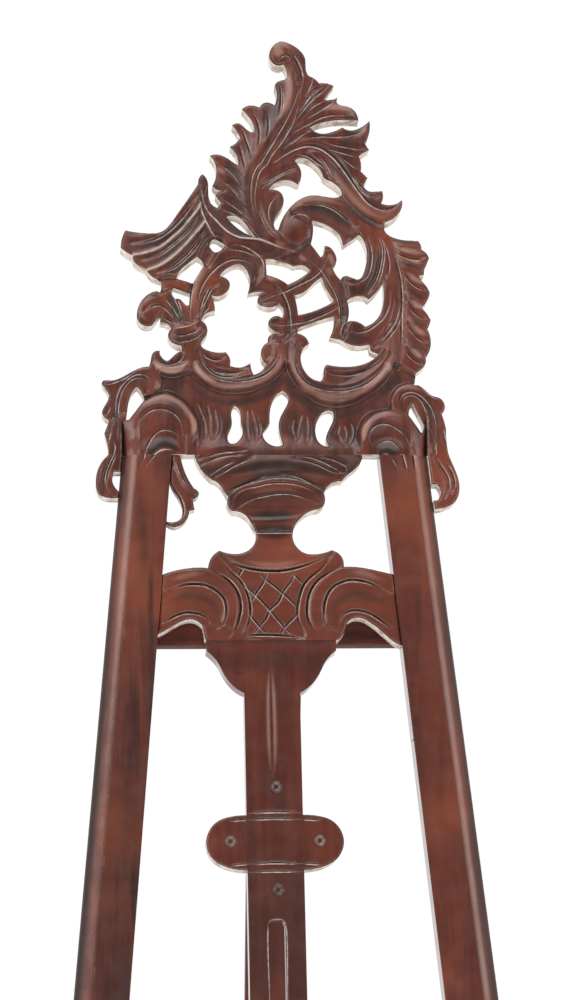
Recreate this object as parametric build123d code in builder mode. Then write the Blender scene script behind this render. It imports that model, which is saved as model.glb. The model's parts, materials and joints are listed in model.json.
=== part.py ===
from build123d import *
from math import cos, sin, radians
import os

# Carved mahogany display easel with a pierced rococo crest, an A-shaped front
# frame that leans back, a hinged rear leg and a picture tray that slides on
# the slotted mast.  Millimetres, +Z up, floor at Z = 0, front towards -Y.

# --- driving dimensions -------------------------------------------------------
LEAN = 12.0             # lean-back of the front frame, degrees
BASE_Y = -312.19        # Y of the front face where it meets the floor
CARVE_X = -5.0          # centre of the hand-carved crest and rails
MAST_X = -8.5           # centre of the mast and tray
REAR_X = 0.0            # centre of the rear leg and its hinge

SEAM_V = 1466.0         # height up the slope where the crest board starts
NECK_V = 1383.0         # joint between urn and lattice rail
BLOCK_V = 1272.3        # underside of the lattice rail's block
CREST_T = 18.0          # crest board and urn thickness
CARVED_RAIL_T = 18.0
CARVED_RAIL_DEPTH = 3.0     # carved rails sit this far behind the leg faces
TENDRIL_DEPTH = 2.0

LEG_T = 24.0
FOOT_T = 22.0
LEG_LOW_V = -12.0       # legs start below the floor and are trimmed at it
LEG_INNER = 120.4       # half gap between the legs at LEG_REF_V
LEG_INNER_SLOPE = 0.0862
LEG_OUTER = 172.0
LEG_OUTER_SLOPE = 0.0927
LEG_REF_V = 1300.0
OVOLO_W = 17.0          # moulded outer edge of each leg
OVOLO_D = 10.0
QUIRK = 2.0             # step between the flat and the moulding

MAST_W = 56.0
MAST_T = 20.0
MAST_DEPTH = 6.0        # front of the mast behind the leg faces
MAST_FOOT_V = 395.0
SLOT_W = 17.0
SLOT_TOP_V = 992.0
SLOT_END_V = 470.0
SLOT_CORNER = 5.0
HEAD_LIFT = 2.8         # how far the mast's ogee head stands forward
DIMPLE_R = 6.5
DIMPLE_DEPTH = 4.0
GROOVE_W = 1.6
GROOVE_D = 0.9

HEAD_HALF = 65.5        # mast head across both shoulders
FLUTE_TOP_V = 1268.0    # ends of the spindle that cuts the mast's flute
FLUTE_END_V = 1121.0
FLUTE_R = 6.0
FLUTE_DEPTH = 3.0

REAR_RAIL_T = 18.0
REAR_RAIL_HALF = 158.0
REAR_RAIL_LOW_V = 1272.3
REAR_RAIL_HIGH_V = 1330.0

PLAY = 0.05             # clearance of pegs, screws and the hinge pin
DOWEL_R = 4.0
DOWEL_HALF = 18.0
DOWEL_END_GAP = 1.0
NECK_DOWEL_DEPTH = 10.0     # dowel axes behind the leg faces
MAST_DOWEL_DEPTH = 14.0
SMALL_SCREW = (1.8, 3.5, 2.0)   # shank radius, head radius, head thickness
LARGE_SCREW = (2.0, 4.0, 2.5)
HINGE_SCREW_LONG = 14.0
TRAY_SCREW_LONG = 32.0
RAIL_SCREW_LONG = 34.0

PIN_V = 1285.0          # hinge pin height up the slope
PIN_BEHIND = 4.0        # pin axis behind the rear rail
PIN_R = 2.0
BARREL_R = 3.9
LEAF_T = 2.5
LEAF_W = 46.0
LEAF_LONG = 40.0
KNUCKLE = 13.0          # length of each outer knuckle
KNUCKLE_GAP = 1.0
BARREL_PLAY = 0.4       # around the other leaf's knuckles
REAR_LEG_OPEN = 13.0    # rear leg from the vertical when open, degrees
REAR_LEG_W = 53.0
REAR_LEG_T = 20.0
REAR_LEG_LONG = 1300.0
HEEL = 16.0             # rear leg above the pin, bevelled as the stop

TRAY_V = 620.0          # clamp bolt height with the tray at rest
TRAY_HALF = 210.0
TRAY_SHELF_T = 12.0
TRAY_SHELF_LOW_V = 563.0
TRAY_SHELF_TO = 64.0    # shelf reaches this far in front of the leg faces
LIP_T = 10.0
LIP_LOW_V = 555.0
BACK_HALF = 120.0
BACK_T = 14.0
TONGUE_W = 16.8
TONGUE_HALF_LONG = 30.0
TONGUE_SHORT = 0.5      # tongue stops this far inside the mast's back
SLIDE_PLAY = 0.1        # tray to mast, front and back
BOLT_R = 4.0
BOLT_HEAD_R = 9.6
BOLT_HEAD_T = 3.0
BOLT_PROUD = 2.0        # bolt end beyond the wing nut
PLATE_W = 50.0
PLATE_LONG = 90.0
PLATE_CORNER = 8.0
PLATE_T = 6.0
WASHER_T = 1.6
WASHER_R = 10.0
NUT_T = 12.0
NUT_R = 8.0
WING_X = 14.0           # centre of each wing from the bolt
WING_LONG = 18.0
WING_WIDE = 12.0
WING_T = 4.0
BIG = 900.0             # size of the blocks used to trim at the floor
OVER = 8.0              # how far cutting sketches reach past an edge

COS = cos(radians(LEAN))
SIN = sin(radians(LEAN))
COS_REAR = cos(radians(REAR_LEG_OPEN))
SIN_REAR = sin(radians(REAR_LEG_OPEN))
UP_SLOPE = (0, SIN, COS)
BACKWARD = (0, COS, -SIN)
FORWARD = (0, -COS, SIN)
STANDING = (Align.CENTER, Align.CENTER, Align.MIN)


def inner_edge(v):
    return LEG_INNER + LEG_INNER_SLOPE * (LEG_REF_V - v)


def outer_edge(v):
    return LEG_OUTER + LEG_OUTER_SLOPE * (LEG_REF_V - v)


def at_inner(side, v):
    """Point on a leg's inner line, measured from the carving's centre line."""
    return (side * inner_edge(v) - CARVE_X, v)


def at_outer(side, v):
    return (side * outer_edge(v) - CARVE_X, v)


# --- carved outlines: each stretch runs on from the end of the one before it,
# one point makes a line and more make a spline -------------------------------
CREST_OUTLINE = [
    [(35, 1919), (46, 1904), (46.2, 1891), (49, 1884.7)],
    [(56, 1881.3), (60, 1877)],
    [(70, 1876.8), (75.5, 1874.2)],
    [(70.5, 1867.5), (65, 1857.8)],
    [(73, 1858.6), (79.3, 1860.8)],
    [(78.6, 1855), (84, 1851.8)],
    [(96, 1847), (100.8, 1835)],
    [(80, 1835.2), (60, 1831.5), (49.5, 1826.5)],
    [(53, 1822.5), (70, 1821), (83.5, 1827)],
    [(92, 1823.6), (101, 1826), (112.5, 1834.8)],
    [(112, 1822), (106.8, 1809)],
    [(111, 1802)],
    [(106, 1799), (100, 1794.5)],
    [(102.2, 1785), (101.5, 1777.5)],
    [(108.5, 1770)],
    [(104.3, 1763)],
    [(108, 1756.5), (116, 1754.7), (123.5, 1755.5)],
    [(124.3, 1750), (122, 1741.5)],
    [(130, 1739.7), (143.5, 1744.3)],
    [(143.5, 1737), (135, 1724.5), (125, 1719)],
    [(125, 1710.5), (136, 1702.5), (152, 1700.2)],
    [(159.5, 1699.8)],
    [(162, 1696), (162.8, 1690)],
    [(167.5, 1686.5), (170.4, 1680.5)],
    [(168, 1675), (165.3, 1669), (164.5, 1662.5)],
    [(159, 1661)],
    [(164, 1653), (168, 1647.5), (169.8, 1641)],
    [(167, 1634), (160.5, 1626)],
    [(166, 1619.5), (169.8, 1612.5)],
    [(168.5, 1608), (166, 1602.5)],
    [(168.8, 1593), (167.8, 1580), (162.5, 1571.5)],
    [(162.8, 1565), (159, 1559.5), (152, 1554)],
    [(151.8, 1549), (150.3, 1542)],
    [(158, 1539), (166, 1532), (172, 1529)],
    [(178, 1526), (181, 1520), (177.5, 1510.5)],
    [(180.5, 1499), (181.5, 1494)],
    [(181.3, 1483), (183.2, SEAM_V)],
    [(-165.6, SEAM_V)],
    [(-166.6, 1479), (-169.5, 1488.5)],
    [(-167.5, 1494), (-164.8, 1500.5)],
    [(-165.3, 1503)],
    [(-169, 1505.5), (-171.8, 1510)],
    [(-169.5, 1517), (-165, 1525.5), (-164.3, 1529)],
    [(-166, 1533), (-171.8, 1541)],
    [(-171.2, 1544), (-166, 1545.4)],
    [(-153, 1548.2), (-141, 1555), (-132, 1559), (-123.5, 1560.3)],
    [(-121.5, 1567), (-119.5, 1574.5), (-112, 1577.5)],
    [(-110.5, 1571), (-105, 1567.2), (-98, 1572), (-89.5, 1577)],
    [(-90, 1582.5)],
    [(-98, 1585.5), (-103, 1592), (-99.8, 1601)],
    [(-103, 1605.8), (-111.5, 1608.5)],
    [(-110.3, 1619)],
    [(-115, 1611.5), (-120, 1605)],
    [(-127, 1604.4), (-134, 1610), (-135.2, 1618), (-132, 1629), (-123, 1639.2), (-111, 1643)],
    [(-109.6, 1647), (-110, 1654.5)],
    [(-118, 1657.3), (-124.5, 1664.5)],
    [(-129, 1668), (-136, 1671.8), (-138.7, 1679.7)],
    [(-145, 1683.2), (-151.5, 1688.5)],
    [(-150.8, 1696), (-146.5, 1707.5)],
    [(-128, 1704.8), (-108, 1707.6), (-95, 1722.5), (-80, 1744.5), (-70, 1760)],
    [(-68.7, 1767.5), (-65.5, 1771)],
    [(-60.5, 1764), (-59.5, 1748), (-50.5, 1735)],
    [(-46, 1740)],
    [(-49, 1744), (-52.2, 1749)],
    [(-47.5, 1752.5), (-41, 1755.5)],
    [(-48.5, 1754.5), (-55, 1759.5)],
    [(-51, 1771), (-51.5, 1783), (-57.2, 1793.5)],
    [(-46, 1794.2), (-35, 1788), (-27.5, 1782.5)],
    [(-28, 1790), (-30, 1796), (-35.8, 1804)],
    [(-29, 1808.5), (-25, 1814)],
    [(-28, 1820.5), (-33.2, 1828)],
    [(-24, 1829.2), (-14.5, 1821), (-10.2, 1820.5)],
    [(-11.5, 1831), (-16.5, 1839), (-22.5, 1846.5)],
    [(-17, 1850.2), (-4, 1848.7)],
    [(2, 1854.2), (12.2, 1851)],
    [(14.7, 1862), (12.8, 1873.5)],
    [(17, 1878.3), (25, 1881), (25.8, 1888), (22, 1897)],
    [(15, 1896), (9, 1901), (7.3, 1906.5), (13, 1919), (20.5, 1923.8)],
]
CREST_PIERCINGS = [
    # under the tall leaf
    [[(35, 1791.2), (50, 1787.5), (61.5, 1770.7)],
     [(70, 1764), (78, 1757), (80.3, 1749)],
     [(71, 1747.5), (50, 1750), (33, 1743), (17, 1722), (13, 1710.5)],
     [(10, 1711)],
     [(11, 1726), (19, 1740), (18.5, 1749.5), (4, 1755.5)],
     [(13, 1764.5), (27, 1766), (34.5, 1761.5)],
     [(38.8, 1773), (32, 1788.5)]],
    # inside the upper right scroll
    [[(62, 1719), (74, 1711), (80.5, 1695)],
     [(90, 1701), (97.5, 1707)],
     [(105, 1691), (104.5, 1675), (100, 1661)],
     [(90, 1657.8), (83, 1660.5), (77, 1657)],
     [(72.5, 1663), (69, 1670.5)],
     [(73, 1684), (67, 1692), (61, 1693.5)],
     [(59, 1684), (57, 1682)],
     [(53, 1688), (47, 1696.5)],
     [(49.5, 1710), (48.5, 1722.8)]],
    # below the tall leaf's left foot
    [[(-30, 1725.2), (-21, 1717), (-10.5, 1702)],
     [(-27, 1710.5), (-41, 1725)]],
    # small diamond beside the wing
    [[(-53, 1701), (-47, 1697.5), (-42.5, 1693)],
     [(-52.5, 1686.7), (-59, 1693.5)]],
    # above the crossed straps
    [[(15, 1677), (28.5, 1671.5)],
     [(42, 1671), (45.5, 1667)],
     [(37, 1660), (22, 1651.7)],
     [(11, 1658.5), (0, 1662)],
     [(-1, 1678)]],
    # the large opening inside the left scroll
    [[(-39, 1669.5), (-27, 1672.2), (-20, 1664), (-17.7, 1650.5)],
     [(-20, 1641)],
     [(-10, 1643.3), (-1, 1643)],
     [(-9, 1637.5), (-9.7, 1631), (-4, 1626.5), (12, 1631.2)],
     [(17, 1622), (15, 1615)],
     [(3, 1614), (0.6, 1608.5), (4, 1602.5), (15, 1598.5)],
     [(10, 1597)],
     [(1.5, 1595), (-0.3, 1587)],
     [(-7, 1580), (-7.5, 1571.5), (-2.5, 1564)],
     [(-7, 1556), (-16, 1551.2)],
     [(-18, 1557), (-19, 1564.5)],
     [(-32, 1559.8), (-40, 1561.5)],
     [(-41, 1572), (-44.5, 1576.3)],
     [(-52, 1575.8), (-67, 1580.3)],
     [(-69.7, 1585.5), (-63.5, 1595.5), (-63, 1603), (-69, 1610.5)],
     [(-65.5, 1616.5), (-54.5, 1621.5)],
     [(-55, 1628), (-58.8, 1639)],
     [(-44, 1640.2), (-38.8, 1648), (-49, 1659.5)]],
    # under the wing
    [[(-68, 1678), (-65, 1671.5)],
     [(-72, 1660.5), (-76.5, 1652.7)],
     [(-94, 1658)],
     [(-91, 1664), (-80, 1674.5), (-72.5, 1680.7)]],
    # below the bar
    [[(-80, 1641.5)],
     [(-81, 1628)],
     [(-84, 1627.5), (-88, 1631.5), (-95, 1634.5)],
     [(-99, 1640.5), (-97, 1647.5)]],
    # between the straps
    [[(52, 1656), (43, 1647), (28.5, 1640)],
     [(31, 1627), (32, 1618)],
     [(50, 1623.2), (69.8, 1633.5)],
     [(61.5, 1648.5), (57.5, 1660)]],
    # below the straps
    [[(50, 1611), (69.5, 1617)],
     [(69, 1608), (64, 1593.3)],
     [(75, 1591.3)],
     [(82, 1586.2), (104.5, 1585.2)],
     [(106, 1578)],
     [(114, 1574.5)],
     [(100, 1564.5), (80, 1560.8), (60, 1563)],
     [(57, 1558.5), (55.5, 1548), (53, 1545)],
     [(43, 1548), (34, 1562), (34.5, 1577), (42.3, 1586)],
     [(38.5, 1593), (30.5, 1597)],
     [(31, 1603.5)]],
    # right of the straps
    [[(84.8, 1620), (82.8, 1610.5)],
     [(88, 1611), (101, 1605)],
     [(117, 1618.5), (122, 1642), (122.5, 1657)],
     [(117, 1647), (105.5, 1634.5)],
     [(102, 1638)],
     [(92, 1637.8), (83, 1634)]],
    # side ears
    [[(-142, 1531), (-146, 1513), (-147.5, 1502.3)],
     [(-144.5, 1502.3)],
     [(-137, 1512), (-128.3, 1524.5)],
     [(-132, 1534), (-136, 1538.6)]],
    [[(144.5, 1516), (143.3, 1508)],
     [(150, 1497.5), (156, 1489.3)],
     [(158, 1494), (153, 1511), (148, 1521.5)]],
    # gallery slots above the urn
    [[(-30.3, 1514), (-29.3, 1500), (-27.8, 1493), (-31.5, 1483), (-35, 1479.6)],
     [(-42, 1480), (-43.5, 1487), (-39, 1499), (-39.5, 1510), (-36, 1520)]],
    [[(19.8, 1529), (10.5, 1506), (10.5, 1488), (13.2, 1478)],
     [(8, 1476), (-1, 1478.5), (-7.3, 1490.5)],
     [(0, 1501)],
     [(1.5, 1519), (6.5, 1530), (14, 1536)]],
    [[(66, 1511), (61.5, 1496), (61, 1475.3)],
     [(52, 1478.5), (47, 1490)],
     [(51, 1508), (57, 1513.8), (65, 1514)]],
]
URN_OUTLINE = [
    [(-78, SEAM_V)],
    [(-73, 1453), (-60.5, 1439)],
    [(-54, 1435.5), (-48, 1427), (-44.5, 1420.5)],
    [(-44.5, 1410), (-40, 1405.3)],
    [(-29, 1402.5), (-19.5, 1390), (-16.6, NECK_V)],
    [(20.8, NECK_V)],
    [(22.5, 1390), (31, 1400.8), (42, 1406.5)],
    [(52, 1411), (53.3, 1425)],
    [(61, 1435.5), (72, 1438)],
    [(80, 1446), (91, 1456.5), (94, SEAM_V)],
]
LATTICE_RAIL_OUTLINE = [
    [(-16.6, NECK_V)],
    [(-17, 1376), (-21, 1369), (-31, 1363), (-42, 1362.3), (-54, 1365.7)],
    [(-61, 1360), (-65.7, 1347.5)],
    [(-84, 1347.5), (-100, 1344.3), at_inner(-1, 1340.3)],
    [at_inner(-1, 1279)],
    [(-105, 1285.5), (-84, 1294.2), (-72.5, 1288)],
    [(-70.5, 1280), (-70, 1274)],
    [(-66, BLOCK_V)],
    [(64, BLOCK_V)],
    [(71, 1281), (73.5, 1290.5)],
    [(84, 1295.5), (102, 1287), at_inner(1, 1266.5)],
    [at_inner(1, 1340.2)],
    [(105, 1344.2), (88, 1347.8), (72, 1348.3)],
    [(69.5, 1360), (60, 1366)],
    [(46, 1362), (31, 1363.8), (22, 1374), (20.8, NECK_V)],
]
LEFT_DROP_OUTLINE = [
    [(-165.6, SEAM_V)],
    [(-173, 1457), (-178.5, 1437), (-175, 1424), (-164, 1420), at_outer(-1, 1420.2)],
    [at_outer(-1, 1427.2)],
    [(-160.5, 1434), (-160.3, 1447.8)],
    [at_outer(-1, 1447.8)],
    [at_outer(-1, SEAM_V)],
]
RIGHT_DROP_OUTLINE = [
    [at_outer(1, SEAM_V)],
    [at_outer(1, 1434.8)],
    [(168, 1434.8)],
    [(173.3, 1425), (169, 1417.6), at_outer(1, 1418)],
    [at_outer(1, 1408.3)],
    [(176, 1409.8), (188, 1416.5), (193, 1431), (190, 1448), (183.2, SEAM_V)],
]
TENDRIL_OUTLINE = [
    [at_inner(-1, SEAM_V)],
    [at_inner(-1, 1440)],
    [(-97, 1425), (-91, 1412), (-92, 1401), at_inner(-1, 1396)],
    [at_inner(-1, 1394)],
    [(-98, 1390.3), (-88, 1396.5), (-84, 1407)],
    [(-78.5, 1408.5)],
    [(-80.3, 1419)],
    [(-73.8, 1425.5), (-79, 1431.5)],
    [(-88, 1449), (-92, SEAM_V)],
]
# right halves, measured from the piece's own centre line
SHOULDER_OUTLINE = [
    [(MAST_W / 2, BLOCK_V)],
    [(HEAD_HALF, BLOCK_V)],
    [(65.2, 1261.5)],
    [(59, 1256), (53.5, 1249), (49, 1240), (41.5, 1229), (MAST_W / 2, 1219)],
]
BOSS_OUTLINE = [
    [(MAST_W / 2, 1095.8)],
    [(44, 1094.5), (58, 1089), (68.2, 1069), (62, 1053), (44, 1043), (MAST_W / 2, 1041)],
]
LOWER_RAIL_HALF = [
    [(0, MAST_FOOT_V)],
    [(60, MAST_FOOT_V)],
    [(64, 384), (82, 377), (130, 381), (inner_edge(372), 372)],
    [(inner_edge(300), 300)],
    [(170, 318), (110, 330), (70, 322), (48, 303)],
    [(24, 297), (0, 296)],
]
FOOT_OUTLINE = [
    [(outer_edge(140), 140)],
    [(290, 128), (295, 106), (298, 80), (307, 52), (317, 30), (314, 8), (301, -3)],
    [(outer_edge(-3), -3)],
]
BACK_OUTLINE = [
    [(BACK_HALF, TRAY_SHELF_LOW_V)],
    [(BACK_HALF, 612)],
    [(104, 622), (78, 640), (56, 672)],
    [(30, 694), (0, 700), (-30, 694), (-56, 672)],
    [(-78, 640), (-104, 622), (-BACK_HALF, 612)],
    [(-BACK_HALF, TRAY_SHELF_LOW_V)],
]
LIP_OUTLINE = [
    [(TRAY_HALF, LIP_LOW_V)],
    [(TRAY_HALF, 583)],
    [(180, 592), (140, 584), (100, 582)],
    [(50, 586), (0, 597), (-50, 586), (-100, 582)],
    [(-140, 584), (-180, 592), (-TRAY_HALF, 583)],
    [(-TRAY_HALF, LIP_LOW_V)],
]
OGEE_HEAD = [(1246, 0), (1251, 0.9), (1259, 2.6), (1266, HEAD_LIFT), (BLOCK_V, 2.4)]
DIMPLES_V = (1124.0, 1022.0)
DIMPLE_X = 2.0          # bored a little to the right of the mast's centre
BOSS_DIMPLE_X = 44.2
BOSS_DIMPLE_V = 1070.0
BOSS_GROOVES_V = (1091.0, 1047.0)
MAST_GROOVES_V = (1098.0, 1091.0, 1047.0, 1039.5)

LEG_TOP_DOWELS_X = (120.0, 140.0)
URN_DOWELS_X = (-20.5, 31.5)
NECK_DOWEL_X = -1.5
ARM_DOWELS_V = (1297.0, 1322.0)
LOWER_DOWELS_V = (318.0, 352.0)
MAST_DOWELS_X = (-14.0, 14.0)
RAIL_SCREWS = ((134.0, 1285.0), (150.0, 1312.0))
LEAF_SCREWS_X = (-14.0, 14.0)
LEAF_SCREWS_AT = (14.0, 30.0)
TRAY_SCREWS_X = (-100.0, -50.0, 50.0, 100.0)


# --- helpers ------------------------------------------------------------------
def panel_plane(depth, centre=0.0):
    """Plane parallel to the leaning front, depth behind the leg faces."""
    origin = (centre, BASE_Y + depth * COS, -depth * SIN)
    return Plane(origin=origin, x_dir=(1, 0, 0), z_dir=(0, -COS, SIN))


def panel_point(x, v, depth):
    """Point at x across, v up the slope and depth behind the leg faces."""
    return (x, BASE_Y + v * SIN + depth * COS, v * COS - depth * SIN)


def trace(outline):
    """Draw a closed outline from its stretches, in the active line builder."""
    corner = outline[-1][-1]
    for stretch in outline:
        if len(stretch) > 1:
            Spline(corner, *stretch)
        elif stretch[0] != corner:
            Line(corner, stretch[0])
        corner = stretch[-1]


def board(outline, depth, thick, centre=0.0, mode=Mode.ADD):
    """Board of the given outline with its face depth behind the leg faces."""
    with BuildSketch(panel_plane(depth, centre)) as face:
        with BuildLine():
            trace(outline)
        make_face()
    extrude(face.sketch, amount=-thick, mode=mode)


def slab(x0, x1, v0, v1, depth, thick, mode=Mode.ADD):
    """Rectangular board between two x and two slope heights."""
    with BuildSketch(panel_plane(depth)) as face:
        with Locations(((x0 + x1) / 2, (v0 + v1) / 2)):
            Rectangle(x1 - x0, v1 - v0)
    extrude(face.sketch, amount=-thick, mode=mode)


def rod(start, direction, radius, length, mode=Mode.ADD):
    """Round bar from a point along a direction."""
    with Locations(Plane(origin=start, z_dir=direction).location):
        Cylinder(radius, length, align=STANDING, mode=mode)


def screw(start, direction, size, length, grow, mode=Mode.ADD):
    """Countersunk screw with its flat head at start, or its hole, grown by the play."""
    shank_r, head_r, head_t = size
    with Locations(Plane(origin=start, z_dir=direction).location):
        Cone(head_r + grow, shank_r + grow, head_t, align=STANDING, mode=mode)
    rod(start, direction, shank_r + grow, length + grow, mode)


def trim_floor():
    """Cut away whatever reaches below the floor."""
    with Locations((0, 0, -BIG / 2)):
        Box(BIG, 2 * BIG, BIG, mode=Mode.SUBTRACT)


def leg_top_dowels(side, radius, half, mode=Mode.ADD):
    for x in LEG_TOP_DOWELS_X:
        start = panel_point(side * x, SEAM_V - half, CREST_T / 2)
        rod(start, UP_SLOPE, radius, 2 * half, mode)


def urn_dowels(radius, half, mode=Mode.ADD):
    for x in URN_DOWELS_X:
        rod(panel_point(x, SEAM_V - half, CREST_T / 2), UP_SLOPE, radius, 2 * half, mode)


def neck_dowel(radius, half, mode=Mode.ADD):
    start = panel_point(NECK_DOWEL_X, NECK_V - half, NECK_DOWEL_DEPTH)
    rod(start, UP_SLOPE, radius, 2 * half, mode)


def side_dowels(side, heights, radius, half, mode=Mode.ADD):
    """Dowels across the joint between a carved rail and a leg."""
    for v in heights:
        start = panel_point(side * (inner_edge(v) - half), v, LEG_T / 2)
        rod(start, (side, 0, 0), radius, 2 * half, mode)


def mast_dowels(joint_v, radius, half, mode=Mode.ADD):
    for x in MAST_DOWELS_X:
        start = panel_point(MAST_X + x, joint_v - half, MAST_DOWEL_DEPTH)
        rod(start, UP_SLOPE, radius, 2 * half, mode)


def rail_screw_set(grow, mode=Mode.ADD):
    depth = LEG_T + REAR_RAIL_T
    for side in (-1, 1):
        for x, v in RAIL_SCREWS:
            start = panel_point(side * x, v, depth)
            screw(start, FORWARD, LARGE_SCREW, RAIL_SCREW_LONG, grow, mode)


def tray_screw_set(grow, mode=Mode.ADD):
    for x in TRAY_SCREWS_X:
        start = panel_point(MAST_X + x, TRAY_SHELF_LOW_V + TRAY_SHELF_T / 2, MAST_FRONT)
        screw(start, FORWARD, SMALL_SCREW, TRAY_SCREW_LONG, grow, mode)


def ogee_head(x_from, width):
    """Rolled moulding across the top of the mast."""
    start = panel_point(MAST_X + x_from, 0, MAST_DEPTH)
    with BuildSketch(Plane(origin=start, x_dir=UP_SLOPE, z_dir=(-1, 0, 0))) as profile:
        with BuildLine():
            Spline(*OGEE_HEAD)
            Polyline(OGEE_HEAD[-1], (BLOCK_V, -2), (OGEE_HEAD[0][0], -2), OGEE_HEAD[0])
        make_face()
    extrude(profile.sketch, amount=-width)


def dimple(x, v):
    """Round hollow in the mast's face."""
    with Locations(panel_point(MAST_X + x, v, MAST_DEPTH - BALL_R + DIMPLE_DEPTH)):
        Sphere(BALL_R, mode=Mode.SUBTRACT)


def groove(x_from, x_to, v):
    """Fine line cut across the mast's face."""
    slab(MAST_X + x_from, MAST_X + x_to, v - GROOVE_W / 2, v + GROOVE_W / 2,
         MAST_DEPTH, GROOVE_D, Mode.SUBTRACT)


def rear_plane(behind):
    """Plane parallel to the open rear leg's front, behind the hinge pin."""
    return Plane(origin=PIN_AT - REAR_FORWARD * behind, x_dir=(1, 0, 0), z_dir=REAR_FORWARD)


def leaf_screws_rear(grow, mode=Mode.ADD):
    face = PIN_AT - REAR_FORWARD * (PIN_BEHIND - LEAF_T)
    for x in LEAF_SCREWS_X:
        for along in LEAF_SCREWS_AT:
            start = face - REAR_UP * along + Vector(x, 0, 0)
            screw(start, REAR_FORWARD * -1, SMALL_SCREW, HINGE_SCREW_LONG, grow, mode)


def leaf_screws_rail(grow, mode=Mode.ADD):
    for x in LEAF_SCREWS_X:
        for along in LEAF_SCREWS_AT:
            start = panel_point(REAR_X + x, PIN_V + along, RAIL_BACK + LEAF_T)
            screw(start, FORWARD, SMALL_SCREW, HINGE_SCREW_LONG, grow, mode)


# --- places worked out from the sizes above -------------------------------------
HOLE_R = DOWEL_R + PLAY
HOLE_HALF = DOWEL_HALF + DOWEL_END_GAP
BALL_R = (DIMPLE_R ** 2 + DIMPLE_DEPTH ** 2) / (2 * DIMPLE_DEPTH)
RAIL_BACK = LEG_T + REAR_RAIL_T
PIN_AT = Vector(*panel_point(REAR_X, PIN_V, RAIL_BACK + PIN_BEHIND))
REAR_FORWARD = Vector(0, -COS_REAR, -SIN_REAR)
REAR_UP = Vector(0, -SIN_REAR, COS_REAR)
MAST_FRONT = MAST_DEPTH - SLIDE_PLAY
MAST_BACK = MAST_DEPTH + MAST_T + SLIDE_PLAY
BOLT_FRONT = MAST_FRONT - BACK_T
NUT_AT = MAST_BACK + PLATE_T + WASHER_T

# --- crest, urn and carved rails ----------------------------------------------
with BuildPart() as crest_panel:
    with BuildSketch(panel_plane(0, CARVE_X)):
        with BuildLine():
            trace(CREST_OUTLINE)
        make_face()
        for piercing in CREST_PIERCINGS:
            with BuildLine():
                trace(piercing)
            make_face(mode=Mode.SUBTRACT)
    extrude(amount=-CREST_T)
    for side in (-1, 1):
        leg_top_dowels(side, HOLE_R, HOLE_HALF, Mode.SUBTRACT)
    urn_dowels(HOLE_R, HOLE_HALF, Mode.SUBTRACT)

with BuildPart() as urn_splat:
    board(URN_OUTLINE, 0, CREST_T, CARVE_X)
    urn_dowels(HOLE_R, HOLE_HALF, Mode.SUBTRACT)
    neck_dowel(HOLE_R, HOLE_HALF, Mode.SUBTRACT)

with BuildPart() as lattice_rail:
    board(LATTICE_RAIL_OUTLINE, CARVED_RAIL_DEPTH, CARVED_RAIL_T, CARVE_X)
    neck_dowel(HOLE_R, HOLE_HALF, Mode.SUBTRACT)
    for side in (-1, 1):
        side_dowels(side, ARM_DOWELS_V, HOLE_R, HOLE_HALF, Mode.SUBTRACT)
    mast_dowels(BLOCK_V, HOLE_R, HOLE_HALF, Mode.SUBTRACT)

with BuildPart() as lower_rail:
    board(LOWER_RAIL_HALF, CARVED_RAIL_DEPTH, CARVED_RAIL_T)
    mirror(about=Plane.YZ)
    for side in (-1, 1):
        side_dowels(side, LOWER_DOWELS_V, HOLE_R, HOLE_HALF, Mode.SUBTRACT)
    mast_dowels(MAST_FOOT_V, HOLE_R, HOLE_HALF, Mode.SUBTRACT)

# --- legs ---------------------------------------------------------------------
with BuildPart() as right_leg:
    leg_corners = [
        (inner_edge(LEG_LOW_V), LEG_LOW_V),
        (outer_edge(LEG_LOW_V), LEG_LOW_V),
        (outer_edge(SEAM_V), SEAM_V),
        (inner_edge(SEAM_V), SEAM_V),
    ]
    with BuildSketch(panel_plane(0)):
        with BuildLine():
            Polyline(*leg_corners, close=True)
        make_face()
    extrude(amount=-LEG_T)
    # moulded outer edge, cut along the leg's outer line
    edge_start = Vector(*panel_point(outer_edge(LEG_LOW_V), LEG_LOW_V, 0))
    edge_end = Vector(*panel_point(outer_edge(SEAM_V), SEAM_V, 0))
    edge_run = edge_end - edge_start
    inward = edge_run.normalized().cross(Vector(0, COS, -SIN))
    edge_plane = Plane(origin=edge_start, x_dir=inward, z_dir=edge_run)
    face_side = 1 if edge_plane.y_dir.Y < 0 else -1
    with BuildSketch(edge_plane):
        with BuildLine():
            bulge = cos(radians(45))
            top = -face_side * QUIRK
            low = -face_side * (QUIRK + OVOLO_D)
            middle = (OVOLO_W * (1 - bulge), low + face_side * OVOLO_D * bulge)
            ThreePointArc((OVOLO_W, top), middle, (0, low))
            Line((0, low), (-OVER, low))
            Line((-OVER, low), (-OVER, face_side * OVER))
            Line((-OVER, face_side * OVER), (OVOLO_W, face_side * OVER))
            Line((OVOLO_W, face_side * OVER), (OVOLO_W, top))
        make_face()
    extrude(amount=edge_run.length, mode=Mode.SUBTRACT)
    trim_floor()
    leg_top_dowels(1, HOLE_R, HOLE_HALF, Mode.SUBTRACT)
    side_dowels(1, ARM_DOWELS_V + LOWER_DOWELS_V, HOLE_R, HOLE_HALF, Mode.SUBTRACT)
    rail_screw_set(PLAY, Mode.SUBTRACT)

with BuildPart() as left_leg:
    mirror(right_leg.part, about=Plane.YZ)

with BuildPart() as right_foot:
    board(FOOT_OUTLINE, 0, FOOT_T)
    trim_floor()

with BuildPart() as left_foot:
    mirror(right_foot.part, about=Plane.YZ)

with BuildPart() as left_ear_drop:
    board(LEFT_DROP_OUTLINE, 0, CREST_T, CARVE_X)
    add(left_leg.part, mode=Mode.SUBTRACT)

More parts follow.
